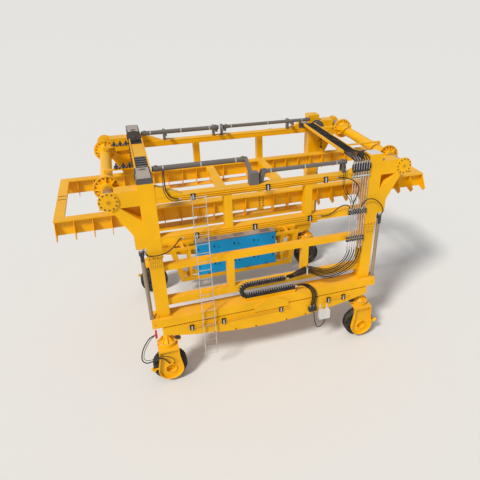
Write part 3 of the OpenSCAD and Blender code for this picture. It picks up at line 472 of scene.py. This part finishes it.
def ferrules(bm, path, thick, reach=0.07):
    """The crimped steel sleeve and the nut at both ends of a hose."""
    for tip, inward in ((path[0], path[1]), (path[-1], path[-2])):
        along = (inward - tip).normalized()
        bar(bm, tip + along * 0.001, tip + along * reach, thick / 2 + 0.006, 16)
        bar(bm, tip + along * 0.001, tip + along * 0.022, thick / 2 + 0.011, 6)


fittings = {"lower_near": bmesh.new(), "side_near": bmesh.new()}
for name, (body, thick, points) in hose_routes.items():
    path = curved([(x, y - gauge, z) for x, y, z in points])
    piece = hose(name + "_tube", body, thick, path)
    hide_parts(name)
    ferrules(fittings[body], path, thick)
for body, bm in fittings.items():
    add_piece(f"hose_fittings_{body}", bm, zinc_plate, body)

# %% [markdown]
# Between the thick hoses run thinner ones, one from each riser that is still free. Each keeps to the middle
# of its two neighbours, or as far outside the last one, and ends on top of them in the energy chain.

# %% Thin hoses of the two bundles
def beside(first, second, share, start=None, end=None):
    """A route at a share of the way from one hose's route to another's, with its own ends."""
    neighbours = zip(hose_routes[first][2], hose_routes[second][2])
    route = [Vector(a).lerp(Vector(b), share) for a, b in neighbours]
    if start:
        route[:len(start)] = [Vector(p) for p in start]
    if end:
        route[-1] = Vector(end)
        route[-2].z += 0.020
    return curved([(x, y - gauge, z) for x, y, z in route])


bundle = {
    "bundle_hose_1": beside("hose_main_1", "hose_main_2", -0.5, end=(0.5804, -0.147, 3.196)),
    "bundle_hose_2": beside("hose_main_1", "hose_main_2", 0.5, end=(0.5804, -0.173, 3.194)),
    "bundle_hose_3": beside("hose_main_2", "hose_main_3", 0.5, end=(0.5804, -0.201, 3.192)),
    "bundle_hose_4": beside("hose_main_2", "hose_main_3", 1.5, end=(0.5804, -0.228, 3.190)),
    "bundle_hose_5": beside("hose_sill_1", "hose_sill_2", 0.5),
    "bundle_hose_6": beside("hose_sill_1", "hose_sill_2", -0.5,
                            start=[(0.8904, -0.222, 2.777), (1.060, -0.262, 2.830)]),
}
for name, path in bundle.items():
    hose(name, "lower_near", 0.025, path)

# %% Clamp of the main bundle
strap_x0, strap_x1 = 1.235, 1.285
strap_low, strap_high = 3.222, 3.478
bm = bmesh.new()
for z in (strap_low, strap_high - 0.012):
    block(bm, (strap_x0, -0.340 - gauge, z), (strap_x1, -0.160 - gauge, z + 0.012))
block(bm, (strap_x0, -0.342 - gauge, strap_low), (strap_x1, -0.330 - gauge, strap_high))
add_piece("bundle_clamp", bm, zinc_plate, "lower_near", bevel=0.002)
print("bundle clamp ready")

# %% [markdown]
# Two hoses run from the beam's end down to the near left wheel hub. They cross the steering joint, and their
# paths curve between the beam and the fork; they ride on no body. Thinner ones follow the cylinders of the
# near side.

# %% Wheel hoses
wheel_hoses = (
    ("wheel_hose_1", 0.036, [
        (-3.800, -2.700, 1.865), (-3.900, -2.735, 1.905), (-4.060, -2.830, 1.880), (-4.240, -2.930, 1.680),
        (-4.335, -2.980, 1.440), (-4.345, -3.005, 1.230), (-4.235, -3.010, 1.100), (-4.060, -3.010, 1.110),
        (-3.870, -3.010, 1.180), (-3.700, -3.005, 1.120), (-3.590, -2.960, 0.930), (-3.535, -2.880, 0.760),
        (-3.530, -2.822, 0.640)]),
    ("wheel_hose_2", 0.020, [
        (-3.800, -2.660, 1.835), (-3.880, -2.690, 1.850), (-4.010, -2.780, 1.800), (-4.180, -2.880, 1.610),
        (-4.270, -2.940, 1.420), (-4.285, -2.970, 1.260), (-4.200, -2.975, 1.165), (-4.050, -2.990, 1.170),
        (-3.850, -3.012, 1.235), (-3.620, -3.012, 1.210), (-3.440, -3.000, 1.080), (-3.360, -2.960, 0.880),
        (-3.400, -2.880, 0.700), (-3.470, -2.822, 0.610)]),
)
for name, thick, points in wheel_hoses:
    piece = hose(name, None, thick, curved(points))
    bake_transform(piece)

# %% Thin hoses at the cylinders
thin_hoses = (
    ("thin_hose_left", [
        (-2.965, -2.027, 7.150), (-2.970, -2.105, 7.140), (-2.985, -2.255, 7.080), (-3.010, -2.465, 7.000),
        (-3.030, -2.655, 6.925), (-3.035, -2.795, 6.790), (-2.940, -2.810, 6.565), (-2.750, -2.785, 6.455),
        (-2.600, -2.735, 6.462)]),
    ("thin_hose_right_1", [
        (2.430, -2.560, 6.915), (2.415, -2.640, 6.890), (2.375, -2.770, 6.760), (2.350, -2.800, 6.560),
        (2.355, -2.802, 6.330), (2.420, -2.802, 6.080), (2.530, -2.790, 5.900), (2.640, -2.775, 5.750),
        (2.700, -2.757, 5.600)]),
    ("thin_hose_right_2", [
        (2.475, -2.560, 6.915), (2.465, -2.640, 6.890), (2.425, -2.775, 6.760), (2.400, -2.812, 6.560),
        (2.405, -2.815, 6.330), (2.470, -2.815, 6.110), (2.570, -2.805, 5.950), (2.665, -2.790, 5.830),
        (2.745, -2.775, 5.680), (2.790, -2.757, 5.540)]),
)
for name, points in thin_hoses:
    hose(name, "side_near", 0.020, curved(points))

# %% [markdown]
# A tyre is a solid of revolution with lugs. The carcass is one half section spun round the axle, and the lugs
# are short slanted blocks set in two rows, left a little proud so that the pattern reads from afar.

# %% Tyres
tyre_section = [(0.297, -0.140), (0.320, -0.158), (0.370, -0.163), (0.430, -0.165), (0.495, -0.162),
                (0.532, -0.150), (0.546, -0.125), (0.549, 0.0)]
tread_radius = 0.559
lug_count = 32


def make_tyre(side, end):
    """The carcass and the lugs of one tyre, in the place of its CAD node."""
    low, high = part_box(f"tyre_{side}_{end}")
    hub = (low + high) / 2
    bm = bmesh.new()
    outline = tyre_section + [(r, -y) for r, y in reversed(tyre_section[:-1])]
    outline_verts = [bm.verts.new(hub + Vector((r, y, 0))) for r, y in outline]
    lines = [bm.edges.new(pair) for pair in zip(outline_verts, outline_verts[1:] + outline_verts[:1])]
    bmesh.ops.spin(bm, geom=outline_verts + lines, cent=hub, axis=(0, 1, 0), angle=2 * math.pi,
                   steps=72, use_merge=True)
    bmesh.ops.remove_doubles(bm, verts=bm.verts, dist=0.0005)
    for row, lean in ((-1, 0.45), (1, -0.45)):
        for i in range(lug_count):
            a = 2 * math.pi * (i + 0.25 * row) / lug_count
            turned = Matrix.Translation(hub) @ Matrix.Rotation(a, 4, "Y")
            slanted = turned @ Matrix.Translation((tread_radius - 0.012, row * 0.074, 0)) \
                @ Matrix.Rotation(lean, 4, "X")
            block(bm, (-0.012, -0.058, -0.020), (0.0118, 0.058, 0.020), slanted)
    for flank in (-1, 1):
        y = flank * 0.150
        for i in range(lug_count):
            a = 2 * math.pi * (i + 0.5) / lug_count
            turned = Matrix.Translation(hub) @ Matrix.Rotation(a, 4, "Y")
            block(bm, (0.490, y - 0.012, -0.014), (0.548, y + 0.012, 0.014), turned)
    piece = add_piece(f"tread_{side}_{end}", bm, tyre_rubber, f"wheel_{side}_{end}", smooth=30)
    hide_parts(f"tyre_{side}_{end}")


for side, end, sy, sx in corners:
    make_tyre(side, end)
print("tyres: 4")

# %% [markdown]
# An energy chain carries hoses to a moving part. Each link is two side plates and two cross bars. The links
# follow one path: along the sill, round the bend and back along the upper run, all at the same pitch.

# %% The path of the energy chain
chain_low, chain_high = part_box("energy_chain")
link_height = 0.145
link_pitch = 0.080
bend_radius = 0.14 + link_height / 2
hose_pitch = 0.038
bend_x = -0.76
lower_z = chain_low.z + link_height / 2
upper_z = chain_high.z - link_height / 2
lower_end_x = 0.89
upper_end_x = 0.58


def chain_places():
    """Each link's place and how far it is turned about Y."""
    places = []
    run = lower_end_x - bend_x
    turn_length = math.pi * bend_radius
    total = run + turn_length + (upper_end_x - bend_x)
    at = link_pitch / 2
    while at < total - link_pitch / 2:
        if at < run:
            places.append((lower_end_x - at, lower_z, 0.0))
        elif at < run + turn_length:
            a = (at - run) / bend_radius
            places.append((bend_x - bend_radius * math.sin(a),
                           (lower_z + upper_z) / 2 - bend_radius * math.cos(a), a))
        else:
            places.append((bend_x + (at - run - turn_length), upper_z, math.pi))
        at += link_pitch
    return places


print("chain links:", len(chain_places()))

# %% Links of the energy chain
bm, bars = bmesh.new(), bmesh.new()
mid_y = (chain_low.y + chain_high.y) / 2
half_width = (chain_high.y - chain_low.y) / 2
for x, z, angle in chain_places():
    spot = Matrix.Translation((x, mid_y, z)) @ Matrix.Rotation(angle, 4, "Y")
    for flank in (-1, 1):
        outer = flank * (half_width - 0.009)
        block(bm, (-0.043, outer - 0.007, -0.060), (0.031, outer + 0.007, 0.060), spot)
        block(bm, (-0.026, outer - 0.009, -0.0715), (0.018, outer + 0.009, 0.0715), spot)
        pin = [spot @ Vector((-0.031, outer + dy, 0)) for dy in (-0.009, 0.009)]
        bar(bm, pin[0], pin[1], 0.017, 10)
    inner = half_width - 0.012
    for level in (-0.0655, 0.0655):
        block(bars, (-0.018, -inner, level - 0.006), (0.012, inner, level + 0.006), spot)
for i in range(3):
    y = mid_y - hose_pitch + i * hose_pitch
    bar(bm, (lower_end_x - 0.03, y, lower_z), (bend_x, y, lower_z), 0.016, 8)
    bar(bm, (upper_end_x - 0.03, y, upper_z), (bend_x, y, upper_z), 0.016, 8)
links_piece = add_piece("energy_links", bm, chain_plastic, "lower_near", bevel=0.003)
# The cross bars take the pale grey of a painted highlight.
bars_piece = add_piece("energy_bars", bars, highlight_bar_plastic, "lower_near", bevel=0.002)
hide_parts("energy_chain")
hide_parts("energy_chain")
print("energy chain: 2 pieces")

# %% [markdown]
# Bolted joints are what makes a steel frame believable: the discs at the arm ends, the flanges of the cross
# tubes, the splice plates and feet of the lower columns and the load frame. The heads are black oxide, so
# they show as dark dots on the paint. All bolts of one kind on one body are one mesh.

# %% Bolts on the side frames
disc_face = gauge + 0.258
disc_hub_face = gauge + 0.270
collar_face = gauge + 0.230
for side, sy in sides:
    bm = bmesh.new()
    outwards = (0, sy, 0)
    for sx in (-1, 1):
        x = sx * column_x
        bolts(bm, ring_of((sx * arm_x, sy * disc_face, tube_z), 0.225, 12, "Y"), outwards, 0.016, 0.014)
        bolts(bm, ring_of((sx * arm_x, sy * disc_hub_face, tube_z), 0.034, 6, "Y"), outwards, 0.008, 0.008)
        bolts(bm, [(x + dx, sy * collar_face, 4.73) for dx in (-0.18, -0.06, 0.06, 0.18)], outwards,
              0.012, 0.012)
    add_piece(f"disc_bolts_{side}", bm, dark_steel, f"side_{side}")
print("disc bolts: 2 sides")

# %% Bolts on the lower columns
splice_face = gauge + 0.214
splice_columns = (-0.15, -0.09, -0.03, 0.03, 0.09, 0.15)
foot_row = gauge + 0.215
foot_top = sill_top + 0.025
foot_columns = (-0.215, -0.13, -0.045, 0.045, 0.13, 0.215)
for side, sy in sides:
    bm = bmesh.new()
    for sx in (-1, 1):
        x = sx * column_x
        for z in (4.40, 4.46, 4.54, 4.60):
            bolts(bm, [(x + dx, sy * splice_face, z) for dx in splice_columns], (0, sy, 0), 0.009, 0.010)
        bolts(bm, [(x + dx, sy * foot_row, foot_top) for dx in foot_columns], (0, 0, 1), 0.009, 0.012)
    add_piece(f"leg_bolts_{side}", bm, dark_steel, f"lower_{side}")
print("leg bolts: 2 sides")

# %% Bolts on the tube flanges and the load frame
flange_start = math.radians(11.25)
load_top = 5.81
bm = bmesh.new()
for sx in (-1, 1):
    for sy in (-1, 1):
        for face, way in ((1.755, sy), (1.730, -sy)):
            ring = ring_of((sx * arm_x, sy * face, tube_z), 0.300, 16, "Y", flange_start)
            bolts(bm, ring, (0, way, 0), 0.014, 0.018)
add_piece("flange_bolts", bm, dark_steel, "bridge")
bm = bmesh.new()
for sy in (-1, 1):
    for x in (0.02, 0.14):
        bolts(bm, [(x, sy * 1.572, z) for z in (5.37, 5.46, 5.55, 5.64, 5.72)], (0, sy, 0), 0.016, 0.014)
for sx in (-1, 1):
    for y in (-0.13, 0.13):
        bolts(bm, [(sx * x, y, load_top) for x in (5.86, 5.92, 5.98, 6.04)], (0, 0, 1), 0.016, 0.012)
add_piece("splice_bolts", bm, dark_steel, "load_frame")
print("flange bolts and splice bolts ready")

# %% [markdown]
# The wheel units turn on slewing rings. Each has a ring of bolts, a black steering motor with a bright cap
# beside the kingpin, a hub with its nuts and a small round stop at the outer side of the fork. Two functions
# dress each unit, so that all four are alike and every part rides on the body that it turns with.

# %% Slewing rings and steering motors
steer_y = gauge + 0.115
ring_top = 1.540
port_z = 1.735


def add_steering(side, end, x, y, sx):
    """The ring of bolts over the fork, and the steering motor with its port towards the middle."""
    bm = bmesh.new()
    bolts(bm, ring_of((x, y, ring_top), 0.258, 16, "Z", 0.2), (0, 0, 1), 0.012, 0.014)
    add_piece(f"ring_bolts_{side}_{end}", bm, zinc_plate, f"lower_{side}")
    bm = bmesh.new()
    motor_x = x - sx * 0.35
    for z0, z1, radius, count in ((ring_top, 1.565, 0.092, 24), (1.565, 1.655, 0.080, 24),
                                  (1.655, 1.700, 0.088, 24), (1.700, 1.768, 0.058, 20)):
        bar(bm, (motor_x, y, z0), (motor_x, y, z1), radius, count)
    bar(bm, (motor_x, y, port_z), (motor_x - sx * 0.10, y, port_z), 0.022, 12)
    add_piece(f"steer_motor_{side}_{end}", bm, dark_paint, f"lower_{side}", bevel=0.003)
    bm = bmesh.new()
    bolts(bm, ring_of((motor_x, y, 1.700), 0.073, 6, "Z", 0.3), (0, 0, 1), 0.010, 0.012)
    bar(bm, (motor_x, y, 1.766), (motor_x, y, 1.776), 0.034, 16)
    bar(bm, (motor_x - sx * 0.095, y, port_z), (motor_x - sx * 0.135, y, port_z), 0.026, 6)
    add_piece(f"motor_fittings_{side}_{end}", bm, zinc_plate, f"lower_{side}")


print("steering axis at y", round(steer_y, 3))

# %% Hubs and stops
hub_z = 0.56


def add_hub(side, end, x, y, sx, sy):
    """The hub and its nuts inside, the bolts of the fork's cup outside, and the round stop on the fork."""
    bm = bmesh.new()
    inner_y = y - sy * 0.150
    bolts(bm, ring_of((x, inner_y, hub_z), 0.118, 8, "Y"), (0, -sy, 0), 0.013, 0.02)
    bar(bm, (x, inner_y + sy * 0.02, hub_z), (x, inner_y - sy * 0.035, hub_z), 0.075, 32, 0.060)
    add_piece(f"hub_{side}_{end}", bm, dark_paint, f"wheel_{side}_{end}", bevel=0.002)
    bm = bmesh.new()
    bolts(bm, ring_of((x, y + sy * 0.195, hub_z), 0.125, 8, "Y", 0.2), (0, sy, 0), 0.010, 0.012)
    add_piece(f"cup_bolts_{side}_{end}", bm, dark_steel, f"steer_{side}_{end}")
    bm = bmesh.new()
    lug_y = y + sy * 0.290
    bar(bm, (x + sx * 0.36, lug_y, 0.66), (x + sx * 0.53, lug_y, 0.66), 0.028, 14)
    bar(bm, (x + sx * 0.51, lug_y, 0.60), (x + sx * 0.61, lug_y, 0.72), 0.055, 20)
    add_piece(f"stop_lug_{side}_{end}", bm, yellow_paint, f"steer_{side}_{end}", bevel=0.004)


for side, end, sy, sx in corners:
    x, y = sx * column_x, sy * steer_y
    add_steering(side, end, x, y, sx)
    add_hub(side, end, x, y, sx, sy)
print("wheel units dressed: 4")

# %% [markdown]
# Hydraulic pipes run along the beams in pairs, painted over with the beams and held by black clamps with
# steel cover plates. Each pair is two straight tubes in one mesh, and a small table gives the length and the
# clamp places of each pair, so that both sides are made alike.

# %% Pipes and clamps
def clamp(bm_body, bm_plate, place, out, size=(0.13, 0.056, 0.185)):
    """A black plastic clamp block with a steel plate on its face; out is the way it stands out."""
    wide, deep, tall = size
    x, y, z = place
    face = y + out * deep
    plate_face = face + out * 0.006
    plate_half = tall / 2 - 0.012
    block(bm_body, (x - wide / 2, y, z - tall / 2), (x + wide / 2, face, z + tall / 2))
    block(bm_plate, (x - wide / 6, face, z - plate_half), (x + wide / 6, plate_face, z + plate_half))
    bolts(bm_plate, [(x, plate_face, z - tall * 0.33), (x, plate_face, z + tall * 0.33)], (0, out, 0),
          0.013, 0.014)


rail_face = 0.203
sill_face = 0.359
pipe_runs = [
    # name, body, face distance, height, x from, x to, clamp places
    ("top_pipes", "side", rail_face, 6.505, -2.60, 2.14, (-2.26, -0.06, 1.79)),
    ("middle_pipes", "side", rail_face, 5.265, -2.62, 1.62, (-2.25, -0.48, 1.32)),
    ("beam_pipes", "lower", sill_face, 2.050, -2.74, 0.66, (-2.69, -1.65, 0.33)),
    ("beam_pipes_right", "lower", sill_face, 2.020, 1.85, 2.90, (2.09, 2.66)),
]
for side, sy in sides:
    for name, body, face, z, x0, x1, clamps in pipe_runs:
        wall = sy * (gauge + face)
        middle = wall + sy * 0.030
        runs = [[(x0, middle, z + dz), (x1, middle, z + dz)] for dz in (-0.028, 0.028)]
        tube(f"{name}_{side}", runs, 0.014, yellow_paint, f"{body}_{side}")
        bm, plates = bmesh.new(), bmesh.new()
        for x in clamps:
            clamp(bm, plates, (x, wall, z), sy)
        add_piece(f"{name}_clamps_{side}", bm, chain_plastic, f"{body}_{side}", bevel=0.003)
        add_piece(f"{name}_plates_{side}", plates, zinc_plate, f"{body}_{side}")
print("pipe runs:", len(pipe_runs) * 2)

# %% [markdown]
# At the near end of the right cross tray the hoses come over the top beam and turn down into the bright
# riser pipes. A dark comb parts the pipes at the top, and dark bars clamp them further down. The inner end
# of each hose lies inside the near end of its tray hose, so that it can slide there when the machine widens.

# %% Hose comb over the risers
riser_x = 2.72
riser_pitch = 0.087
riser_count = 7
riser_y = -2.750
right_tray = 3.05
lane_z = 6.978


def hose_lane(i):
    """Where hose i lies across the right tray."""
    return right_tray - 0.156 + i * 0.052


comb_x0, comb_x1 = 2.70, 3.268
bm = bmesh.new()
block(bm, (comb_x0, -2.724, 6.615), (comb_x1, -2.709, 6.905))
for i in range(riser_count + 1):
    x = riser_x - 0.052 + i * riser_pitch
    block(bm, (x, -2.785, 6.700), (x + 0.017, -2.712, 6.880))
for x in (2.705, 3.232):
    block(bm, (x, -2.790, 6.640), (x + 0.030, -2.712, 6.690))
block(bm, (comb_x0, -2.790, 6.640), (comb_x1, -2.770, 6.690))
add_piece("comb_plate", bm, dark_paint, "side_near", bevel=0.003)
print("comb plate ready")

# %% Clamps of the risers
bm, screws = bmesh.new(), bmesh.new()
for z in (4.180, 4.290, 5.180, 5.280):
    block(bm, (2.656, -2.778, z - 0.003), (3.306, -2.724, z + 0.053))
    for i in range(riser_count - 1):
        x = riser_x + (i + 0.5) * riser_pitch
        block(screws, (x - 0.010, -2.783, z + 0.006), (x + 0.010, -2.776, z + 0.044))
add_piece("riser_clamps", bm, dark_paint, "side_near", bevel=0.003)
add_piece("riser_clamp_plates", screws, zinc_plate, "side_near")
print("riser clamps: 4")

# %% Hoses over the top beam
bm = bmesh.new()
for i in range(riser_count):
    x = riser_x + i * riser_pitch
    lane = hose_lane(i)
    path = curved([(lane, -1.115, lane_z), (lane, -1.40, lane_z), (lane, -1.66, 6.980),
                   ((x + lane) / 2, -1.98, 7.020 + 0.006 * (i % 3)), (x, -2.30, 7.070 - 0.006 * (i % 2)),
                   (x, -2.50, 7.085), (x, -2.65, 7.055), (x, -2.735, 6.995), (x, riser_y, 6.9506)])
    hose(f"comb_hose_{i + 1}", "side_near", 0.030, path)
    foot = path[-1] + Vector((0, 0, 0.0005))
    bar(bm, foot, foot + Vector((0, 0, 0.0345)), 0.020, 12)
    bar(bm, foot, foot + Vector((0, 0, 0.0115)), 0.024, 6)
add_piece("comb_fittings", bm, zinc_plate, "side_near")
print("comb hoses:", riser_count)

# %% [markdown]
# The power pack is a blue cabinet with a dull grey roof. Doors need seams, hinges and latches, and the roof
# needs a rim and a grille, or the cabinet would read as a plain box.

# %% Roof of the power pack
pack_low, pack_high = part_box("power_pack")
front, back = pack_low.y, pack_high.y
floor_z, roof_z = pack_low.z, pack_high.z
bm = bmesh.new()
block(bm, (pack_low.x - 0.015, front + 0.01, roof_z), (pack_high.x + 0.015, back - 0.01, roof_z + 0.025))
for i in range(3):
    for k in range(9):
        x = pack_low.x + 0.45 + i * 1.15 + k * 0.05
        block(bm, (x, front + 0.12, roof_z + 0.024), (x + 0.022, back - 0.12, roof_z + 0.05))
add_piece("pack_roof", bm, grey_paint, "lower_far", bevel=0.004)
print("roof at", round(roof_z, 3))

# %% Doors of the power pack
door_count = 4
door = (pack_high.x - pack_low.x) / door_count
bm, doors = bmesh.new(), bmesh.new()
for i in range(door_count):
    x = pack_low.x + (i + 0.5) * door
    latch_x = x + door * 0.32
    hinge_x = x - door * 0.42
    half = door * 0.46
    for z in (floor_z + 0.42, floor_z + 1.24):
        block(bm, (latch_x, front - 0.022, z), (latch_x + 0.05, front + 0.002, z + 0.10))
        bar(bm, (hinge_x, front - 0.008, z - 0.05), (hinge_x, front - 0.008, z + 0.07), 0.014, 10)
    block(bm, (x - 0.05, front - 0.010, floor_z + 0.012), (x + 0.07, front + 0.002, floor_z + 0.05))
    block(doors, (x - half, front - 0.006, floor_z + 0.07), (x + half, front + 0.002, roof_z - 0.06))
add_piece("pack_latches", bm, chain_plastic, "lower_far", bevel=0.004)
add_piece("pack_doors", doors, blue_paint, "lower_far", bevel=0.004)
print("cabinet doors:", door_count)

# %% [markdown]
# Small parts finish the near side: the lid and cable glands of the pale box, the dark clamp of the sill
# hoses, the red valve at the beam's end, the black plugs along the belly and the pale plate on the right
# column.

# %% Lid and hose clamp
box_low, box_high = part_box("junction_box")
bm = bmesh.new()
block(bm, (box_high.x - 0.386, box_low.y + 0.010, 1.324), (box_high.x + 0.006, box_low.y + 0.036, 1.666))
add_piece("box_lid", bm, white_paint, "lower_near", bevel=0.006)
bm = bmesh.new()
block(bm, (1.334, -2.970, 1.734), (1.626, -2.866, 1.906))
for x in (1.40, 1.46, 1.52, 1.58):
    block(bm, (x - 0.020, -2.985, 1.720), (x + 0.020, -2.960, 1.920))
add_piece("hose_clamp_block", bm, dark_paint, "lower_near", bevel=0.004)
print("lid and hose clamp ready")

# %% Glands, plugs, valve and top plate
gland_y = -2.925
beam_face = gauge + sill_face
bm = bmesh.new()
for x in (1.80, 1.88, 2.06):
    bar(bm, (x, gland_y, 1.302), (x, gland_y, 1.331), 0.017, 12)
for sx in (-1, 1):
    for x, z in ((0.55, 1.540), (1.25, 1.595), (1.95, 1.670)):
        bar(bm, (sx * x, -beam_face - 0.008, z), (sx * x, 0.004 - beam_face, z), 0.026, 16)
add_piece("plugs_and_glands", bm, chain_plastic, "lower_near")
bm = bmesh.new()
end_x = wheel_beam_low.x
block(bm, (end_x - 0.075, -2.765, 1.80), (end_x + 0.002, -2.635, 1.93))
bar(bm, (end_x - 0.055, -2.53, 1.90), (end_x + 0.002, -2.53, 1.90), 0.045, 20)
add_piece("end_caps", bm, red_paint, "lower_near", bevel=0.004)
bm = bmesh.new()
block(bm, (column_x - 0.205, -gauge - 0.205, 7.1245), (column_x + 0.205, 0.205 - gauge, 7.134))
add_piece("column_top_plate", bm, white_paint, "side_near", bevel=0.002)
print("glands, plugs, valve and top plate ready")

# %% [markdown]
# Two grey hoist cylinders lie along the top of each side, and two lift cylinders stand beside the columns.
# Their glands, ports and valve blocks are dark, so the eye can tell where each cylinder ends.

# %% Cylinder fittings
# Start, end, y, z and radius of each lying cylinder
lying = {"near": ((-3.23, -0.48, -1.95, 7.15, 0.075), (-0.20, 2.56, -2.495, 6.92, 0.062)),
         "far": ((-3.23, -0.48, 1.95, 7.07, 0.075), (-0.30, 3.15, 1.95, 7.07, 0.062))}
for side, sy in sides:
    bm, bright = bmesh.new(), bmesh.new()
    for x0, x1, y, z, r in lying[side]:
        for x in (x0 + 0.11, x1 - 0.11):
            block(bm, (x - 0.045, y - 0.050, z + r * 0.4), (x + 0.045, y + 0.050, z + r + 0.012))
        bar(bm, (x0 - 0.004, y, z), (x0 + 0.030, y, z), r + 0.006, 32)
        bar(bm, (x1 - 0.030, y, z), (x1 + 0.004, y, z), r + 0.006, 32)
        for x in (x0 + 0.30, (x0 + x1) / 2, x1 - 0.34):
            bar(bright, (x - 0.020, y, z), (x + 0.020, y, z), r + 0.004, 32)
    add_piece(f"cylinder_ports_{side}", bm, dark_paint, f"side_{side}", bevel=0.003)
    add_piece(f"cylinder_bands_{side}", bright, zinc_plate, f"side_{side}")
    bm = bmesh.new()
    for sx in (-1, 1):
        x, y = sx * 3.865, sy * 2.655
        bar(bm, (x, y, 4.842), (x, y, 4.976), 0.080, 32)
        block(bm, (x - 0.045, y + 0.03 * sy, 4.66), (x + 0.045, y + 0.085 * sy, 4.96))
    add_piece(f"lift_glands_{side}", bm, dark_paint, f"lower_{side}", bevel=0.003)
print("cylinder fittings: 6")

# %% [markdown]
# The right cross tray carries the bundle of hoses from side to side on a grey grating. The left one has a
# walking plate in its middle and open ends filled with black sheets of painted shade, and valve manifolds
# stand on its hangers.

# %% Gratings and tray hoses
left_tray = -3.46
rung_top = 6.950
bar_low = rung_top + 0.0002
tray_half = 1.66
bm = bmesh.new()
for i in range(26):
    y = i * 0.1328 - tray_half
    block(bm, (right_tray - 0.18, y - 0.004, bar_low), (right_tray + 0.18, y + 0.004, 6.958))
for i in range(7):
    x = right_tray - 0.165 + i * 0.055
    block(bm, (x - 0.004, -tray_half, bar_low), (x + 0.004, tray_half, 6.961))
for i in range(5):
    y = i * 0.21 - 1.10
    block(bm, (left_tray - 0.17, y - 0.012, bar_low), (left_tray + 0.17, y + 0.012, 6.974))
add_piece("tray_grating", bm, zinc_plate, "bridge")
runs = []
for i in range(riser_count):
    sway = [0.014 * math.sin(k * 1.7 + i) if k > 3 else 0 for k in range(15)]
    runs.append(curved([(hose_lane(i) + dx, k * 0.24 - 1.68, lane_z) for k, dx in enumerate(sway)], 4))
tube("tray_hoses", runs, 0.017, hose_rubber, "bridge", 2)
print("tray hoses:", len(runs))

# %% Walking plate and painted shade at the ends of the left tray
plate_y0, plate_y1 = -0.16, 1.10
bm = bmesh.new()
block(bm, (left_tray - 0.18, plate_y0, rung_top), (left_tray + 0.18, plate_y1, 6.958))
for y in (plate_y0, plate_y1):
    block(bm, (left_tray - 0.18, y - 0.02, rung_top), (left_tray + 0.18, y + 0.02, 6.975))
add_piece("tray_plate", bm, yellow_paint, "bridge", bevel=0.003)
bm = bmesh.new()
# Black sheets at the open ends are painted shade: they stand for the dark seen through the bars.
for y0, y1 in ((-1.25, plate_y0 - 0.03), (plate_y1 + 0.03, tray_half)):
    block(bm, (left_tray - 0.178, y0, bar_low), (left_tray + 0.178, y1, 6.960))
add_piece("tray_mats", bm, chain_plastic, "bridge", bevel=0.002)
print("plate length", round(plate_y1 - plate_y0, 3))

# %% Valve manifolds on the left hangers
hanger_y = 1.10
hanger_top = 6.9702
union_z = 7.015
bm, bright = bmesh.new(), bmesh.new()
for y in (-hanger_y, hanger_y):
    for x in (-4.18, -3.98, -3.80):
        block(bm, (x - 0.065, y - 0.038, hanger_top), (x + 0.065, y + 0.038, 7.060))
        bar(bm, (x, y, 7.058), (x, y, 7.130), 0.026, 16)
        for dx in (-0.045, 0.045):
            for way in (-1, 1):
                y0, y1 = y + way * 0.036, y + way * 0.085
                bar(bright, (x + dx, y0, union_z), (x + dx, y1, union_z), 0.016, 6)
    block(bm, (-4.26, y - 0.030, hanger_top), (-3.72, y + 0.030, 7.000))
add_piece("valve_manifolds", bm, dark_paint, "bridge", bevel=0.003)
add_piece("valve_unions", bright, zinc_plate, "bridge")
print("manifolds: 2")

# %% [markdown]
# The set is plain: a wide pale floor, a pale sky of even light and one soft lamp from above. The light is
# kept at a level where a colour looks as written.

# %% Floor
floor_size = 600
bm = bmesh.new()
bmesh.ops.create_grid(bm, x_segments=1, y_segments=1, size=floor_size)
mesh = bpy.data.meshes.new("floor")
bm.to_mesh(mesh)
bm.free()
floor = bpy.data.objects.new("floor", mesh)
scene.collection.objects.link(floor)
floor.location.z = -0.001
floor_material, parts, links = new_material("pale_floor")
shader = parts["Principled BSDF"]
shader.inputs["Base Color"].default_value = (0.74, 0.73, 0.71, 1)
shader.inputs["Roughness"].default_value = 0.85
mesh.materials.append(floor_material)
print("floor ready")

# %% Sky and lamp
world = bpy.data.worlds.new("hall")
scene.world = world
world.use_nodes = True
sky = world.node_tree.nodes["Background"]
sky.inputs["Color"].default_value = (0.93, 0.96, 1.0, 1)
sky.inputs["Strength"].default_value = 0.44

lamp_data = bpy.data.lights.new("roof_light", "SUN")
lamp_data.energy = 2.9
lamp_data.angle = math.radians(11)
lamp_data.color = (1.0, 0.97, 0.92)
lamp = bpy.data.objects.new("roof_light", lamp_data)
scene.collection.objects.link(lamp)
lamp.rotation_euler = (math.radians(43), 0, math.radians(-52))
scene.view_settings.view_transform = "Standard"
print("sky and lamp ready")
